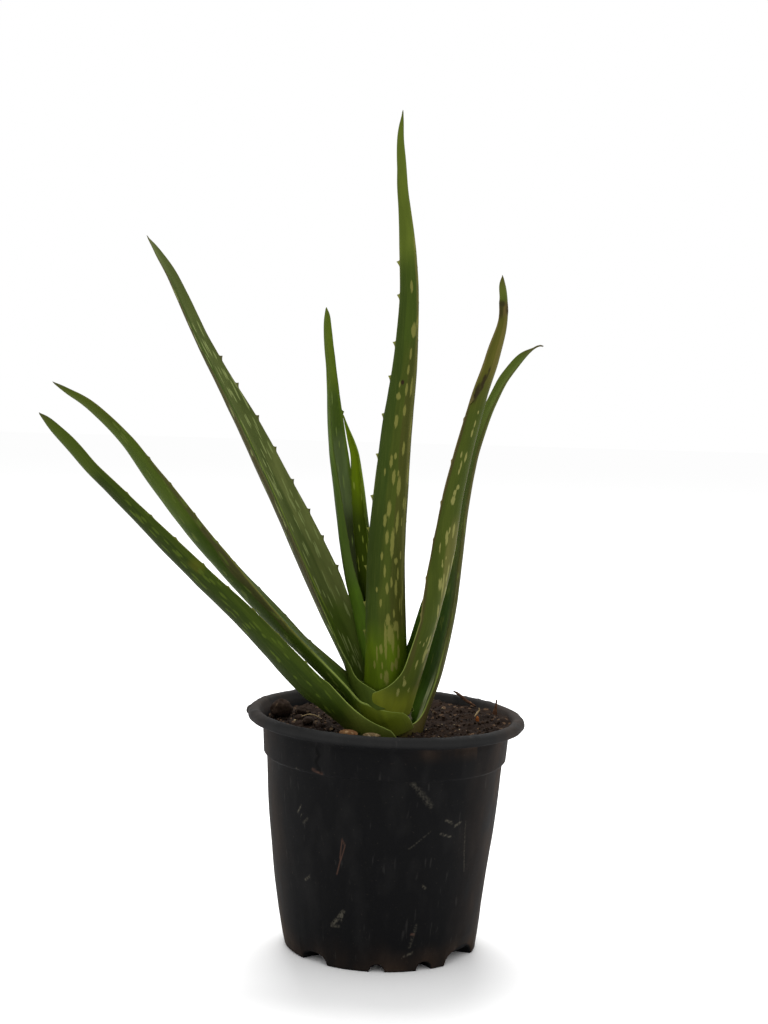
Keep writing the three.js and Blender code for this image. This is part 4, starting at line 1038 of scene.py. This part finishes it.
def soil_material(name, deep, dry, bits):
    """Peat, bark or fibre: matt, nearly black where damp, lighter on dry crumbs.

    deep, dry and bits are the colours of its damp body, its dry crumbs and its rare pale bits. The
    low index takes the shine off, as its open pores do."""
    material, tree, shader = new_material(name)
    where = add(tree, "TexCoord", out="Object")
    # Dry patches are about 9 mm, crumbs 2 mm, and pale bits 1.4 mm.
    patch = add(tree, "TexNoise", {"Vector": where, "Scale": 110.0, "Detail": 4.0})
    crumb = add(tree, "TexNoise", {"Vector": where, "Scale": 520.0, "Detail": 3.0})
    flake = add(tree, "TexVoronoi", {"Vector": where, "Scale": 700.0}, out="Color")
    flake = add(tree, "SeparateColor", {0: flake})
    dryness = add(tree, "MapRange", {0: patch, 1: 0.4, 2: 0.68, 4: 0.8})
    light = add(tree, "MapRange", {0: crumb, 1: 0.5, 2: 0.72, 4: 0.7})
    rare = add(tree, "MapRange", {0: flake, 1: 0.93, 2: 0.97, 4: 0.7})
    base = laid_over(tree, linear(deep), [(dryness, linear(dry)), (light, linear(dry)), (rare, linear(bits))])
    bump = add(tree, "Bump", {"Height": crumb, "Strength": 0.6, "Distance": 0.0006})
    fill(tree, shader, {"Base Color": base, "Roughness": 0.93, "IOR": 1.15, "Normal": bump})
    return material


def make_stem():
    """A lathe with shallow rings of old leaf scars, running down to a root stock.

    The rings are a sine over the height, 3.4 mm apart, that leans by 1.5 mm round the stem. Noise
    roughens them, and both fade out to the root stock and to the top."""
    low, high = CROWN[2], STEM["top"]
    r = STEM["radius"]
    profile = np.array([
        (1, STEM["root_tip"]), (STEM["hole"] * 0.6, STEM["root_tip"] + 1), (STEM["hole"], 94),
        (r * 0.9, low - 12), (r, low - 4), (r, low + 8), (r * 0.9, low + 14), (r * 0.66, low + 20),
        (r * 0.36, high - 6), (r * 0.15, high)])
    rows = resample(profile, 0.8)
    azimuth = np.linspace(0, 2 * np.pi, 96, endpoint=False)[None]
    z = rows[:, 1:] + 0 * azimuth
    rings = 0.35 * np.sin((z + 1.5 * np.sin(azimuth)) * 2 * np.pi / 3.4)
    rough = 0.4 * ring_noise(azimuth, z, 4, 2.5, 31)
    radius = rows[:, :1] + (rings + rough) * smooth(low - 10, low, z) * smooth(high, high - 14, z)
    stock = tube_mesh("stem_stock", round_axis(radius, azimuth, z, CROWN))
    place(stock, stem_material(), "stem_skin", "stem")


def stem_material():
    """Corky young stem: matt, olive brown, with patches of 3 mm."""
    material, tree, shader = new_material("olive_stem_skin")
    where = add(tree, "TexCoord", out="Object")
    bark = add(tree, "TexNoise", {"Vector": where, "Scale": 320.0, "Detail": 5.0})
    tone = add(tree, "MapRange", {0: bark, 1: 0.35, 2: 0.65})
    base = laid_over(tree, linear("#3a3520"), [(tone, linear("#5a5532"))])
    fill(tree, shader, {"Base Color": base, "Roughness": 0.7})
    return material


def lump_points(centre, size, turn, seed, rows=26, sides=36):
    """A sphere of unit size pushed in and out by noise at three scales, then scaled, turned and placed."""
    polar = np.linspace(0.06, np.pi - 0.06, rows)[::-1, None]
    azimuth = np.linspace(0, 2 * np.pi, sides, endpoint=False)[None]
    ball = round_axis(np.sin(polar), azimuth, np.cos(polar))
    push = 1 + 0.13 * noise(ball * 2.2, seed) + 0.09 * noise(ball * 5, seed + 1)
    push = push + 0.05 * noise(ball * 11, seed + 2)
    points = ball * push[..., None] * np.array(size)
    angle = math.radians(turn)
    x = points[..., 0] * math.cos(angle) - points[..., 1] * math.sin(angle)
    y = points[..., 0] * math.sin(angle) + points[..., 1] * math.cos(angle)
    return stack(x, y, points[..., 2]) + np.array(centre)


def stick_points(path, thickness, sides=14):
    """A round section carried along a Catmull-Rom path, its radius given along the path and roughened."""
    steps = np.linspace(0, 1, 50)
    middle, along = catmull(path, steps)
    radius = np.interp(steps, np.linspace(0, 1, len(thickness)), thickness)[:, None]
    right = unit(np.cross(along, [0.3, 0.1, 1.0]))
    up = np.cross(right, along)
    turn = np.linspace(0, 2 * np.pi, sides, endpoint=False)[None]
    rough = 1 + 0.18 * ring_noise(turn, 14 * steps[:, None], 2, 1, 1)
    ring = right[:, None] * np.cos(turn)[..., None] + up[:, None] * np.sin(turn)[..., None]
    return middle[:, None] + ring * (radius * rough)[..., None]


# What the loose pieces are made of: colours of the damp body, the dry crumbs and the pale bits.
LOOSE_MIXES = {
    "dry_clod": ("#231a15", "#372c24", "#524334"), "pine_bark": ("#6e4a30", "#8e6a48", "#b89870"),
    "pale_bark": ("#6f5c42", "#97825f", "#c4b294"), "twig_bark": ("#36241a", "#503726", "#7a5c42"),
    "small_clod": ("#231a15", "#372c24", "#8a7458"), "orange_bark": ("#6e3d1e", "#8a5428", "#a06a3a"),
    "pale_fibre": ("#8a7656", "#a8946f", "#c4b494")}
# Lumps that lie on the soil: centre, half sizes, turn in degrees, seed and, where they aren't 26 and
# 36, the numbers of rows and sides.
LUMPS = {
    "clod_round": ((-57.5, 8, 126.4), (5.9, 5.6, 5), 20, 11),
    "clod_crumbly": ((-46, 15, 123.6), (4.6, 3.8, 3), -30, 13),
    "chip_bark": ((-19.5, -41.5, 123.9), (5.2, 2.4, 2.0), -25, 15),
    "chip_pale": ((-7.4, -42, 123.3), (4.6, 2.1, 1.8), -8, 17),
    "flake_orange": ((49.6, 0, 124.9), (1.0, 0.7, 2.1), 15, 21, 14, 18)}
# Small clods between the leaves and the rim: x, y and half length, at one height.
SMALL_CLODS = [(-47, -2, 2.6), (-42, -10, 3.2), (-37, -17, 2.4), (-35, -24, 2.9), (-29, -30, 2.2)]
SMALL_CLOD_HEIGHT = 123.6
LUMPS.update({
    "clod_bit_%d" % number: (
        (x, y, SMALL_CLOD_HEIGHT), (size, 0.85 * size, 0.7 * size), 40 * number, 31 + 3 * number, 14, 18)
    for number, (x, y, size) in enumerate(SMALL_CLODS)})
# Sticks and fibres: path, radii along it and, where it isn't 14, the number of sides.
STICKS = {
    "stick_dry": ([(50.5, 42, 124.4), (45.5, 47.5, 126.4), (41, 54, 129), (38.3, 59, 129.7)],
                  (0.4, 0.8, 0.9, 0.7, 0.35)),
    "twig_upright": ([(59.6, 20, 119), (60, 20, 124), (60.6, 20.3, 128), (61, 21, 132.5)],
                     (1.2, 1.3, 1.2, 0.6, 0.35)),
    "fibre_bent": ([(48.5, 18, 122.5), (50, 19, 124.5), (51.5, 20, 126.5), (51.2, 20.5, 127.6)],
                   (0.3, 0.45, 0.4, 0.2), 8),
    "fibre_left": ([(-46, -3, 124.5), (-42, -4, 126), (-38.5, -4, 125.5), (-35, -5, 124)],
                   (0.2, 0.35, 0.35, 0.2), 8)}


def make_loose():
    """The loose pieces on the soil: those that stand for a CAD solid lie where it lies."""
    finish = {name: soil_material(name, *colours) for name, colours in LOOSE_MIXES.items()}
    pieces = [
        ("clod_round", "dry_clod", "clod_mix", "clod"),
        ("clod_crumbly", "dry_clod", "clod_mix", "clod_small"),
        ("chip_bark", "pine_bark", "bark", "bark_chip"),
        ("chip_pale", "pale_bark", "pale_bark", "pale_chip"),
        ("stick_dry", "twig_bark", "twig_bark", "stick"),
        ("twig_upright", "twig_bark", "twig_bark", "twig_stub")]
    pieces += [("clod_bit_%d" % number, "small_clod", "potting_mix") for number in range(len(SMALL_CLODS))]
    pieces += [
        ("flake_orange", "orange_bark", "potting_mix"),
        ("fibre_bent", "pale_fibre", "potting_mix"),
        ("fibre_left", "pale_fibre", "potting_mix")]
    for name, mix, slot, *nodes in pieces:
        points = lump_points(*LUMPS[name]) if name in LUMPS else stick_points(*STICKS[name])
        place(tube_mesh(name, points), finish[mix], slot, *nodes)


# Crumbs of the mix: how many, least and greatest size in mm, and the three colours of the mix.
CRUMBS = {
    "crumbs_dark": (1300, 0.3, 0.95, ("#1d1510", "#2e2218", "#4a3a2c")),
    "crumbs_brown": (300, 0.3, 1.1, ("#2c2018", "#3f2f22", "#5e4a36")),
    "crumbs_pale": (30, 0.4, 0.9, ("#8a7a60", "#a89878", "#c8bca0"))}
CRUMB_SPREAD = 64.3     # radius that the crumbs cover
# The corners of an icosahedron, with the golden ratio as their longer coordinate, and its faces.
GOLDEN = (1 + 5 ** 0.5) / 2
CRUMB_CORNERS = [(-1, GOLDEN, 0), (1, GOLDEN, 0), (-1, -GOLDEN, 0), (1, -GOLDEN, 0),
                 (0, -1, GOLDEN), (0, 1, GOLDEN), (0, -1, -GOLDEN), (0, 1, -GOLDEN),
                 (GOLDEN, 0, -1), (GOLDEN, 0, 1), (-GOLDEN, 0, -1), (-GOLDEN, 0, 1)]
CRUMB_FACES = [(0, 11, 5), (0, 5, 1), (0, 1, 7), (0, 7, 10), (0, 10, 11), (1, 5, 9), (5, 11, 4),
               (11, 10, 2), (10, 7, 6), (7, 1, 8), (3, 9, 4), (3, 4, 2), (3, 2, 6), (3, 6, 8),
               (3, 8, 9), (4, 9, 5), (2, 4, 11), (6, 2, 10), (8, 6, 7), (9, 8, 1)]


def make_crumbs():
    """Crumbs on the mix: icosahedra stretched, turned and dented by seeded draws. Each row of CRUMBS
    is one mesh.

    Places are even over a disc, because the radius is CRUMB_SPREAD times the root of the draw. Sizes
    are small + (large - small) * draw^2.2, so most are small, and a crumb's middle stands 0.35 of its
    size over the soil."""
    draw = np.random.default_rng(7)
    corner = unit(np.array(CRUMB_CORNERS))
    for name, (count, small, large, colours) in CRUMBS.items():
        radius = CRUMB_SPREAD * np.sqrt(draw.random(count))
        turn = 2 * np.pi * draw.random(count)
        x, y = radius * np.cos(turn), radius * np.sin(turn)
        size = small + (large - small) * draw.random(count) ** 2.2
        stretch = 0.6 + 0.7 * draw.random((count, 3))
        turned, _ = np.linalg.qr(draw.standard_normal((count, 3, 3)))
        turned = turned * np.sign(np.linalg.det(turned))[:, None, None]
        dents = 0.8 + 0.35 * draw.random((count, len(CRUMB_CORNERS), 1))
        local = corner[None] * dents * (size[:, None] * stretch)[:, None]
        points = np.einsum("nij,nkj->nki", turned, local)
        points += stack(x, y, soil_top(x, y) + 0.35 * size)[:, None]
        faces = np.array(CRUMB_FACES)[None] + len(CRUMB_CORNERS) * np.arange(count)[:, None, None]
        piece = make_mesh(name, points.reshape(-1, 3), np.zeros((0, 4), int), faces.reshape(-1, 3))
        place(piece, soil_material("mix_" + name, *colours), "potting_mix")


# ------------------------------------------------------------------ build

make_camera()
make_stage()
make_pot()
make_soil()
make_stem()
make_crumbs()
make_loose()
for order, name in enumerate(LEAVES):
    make_leaf(name, order)
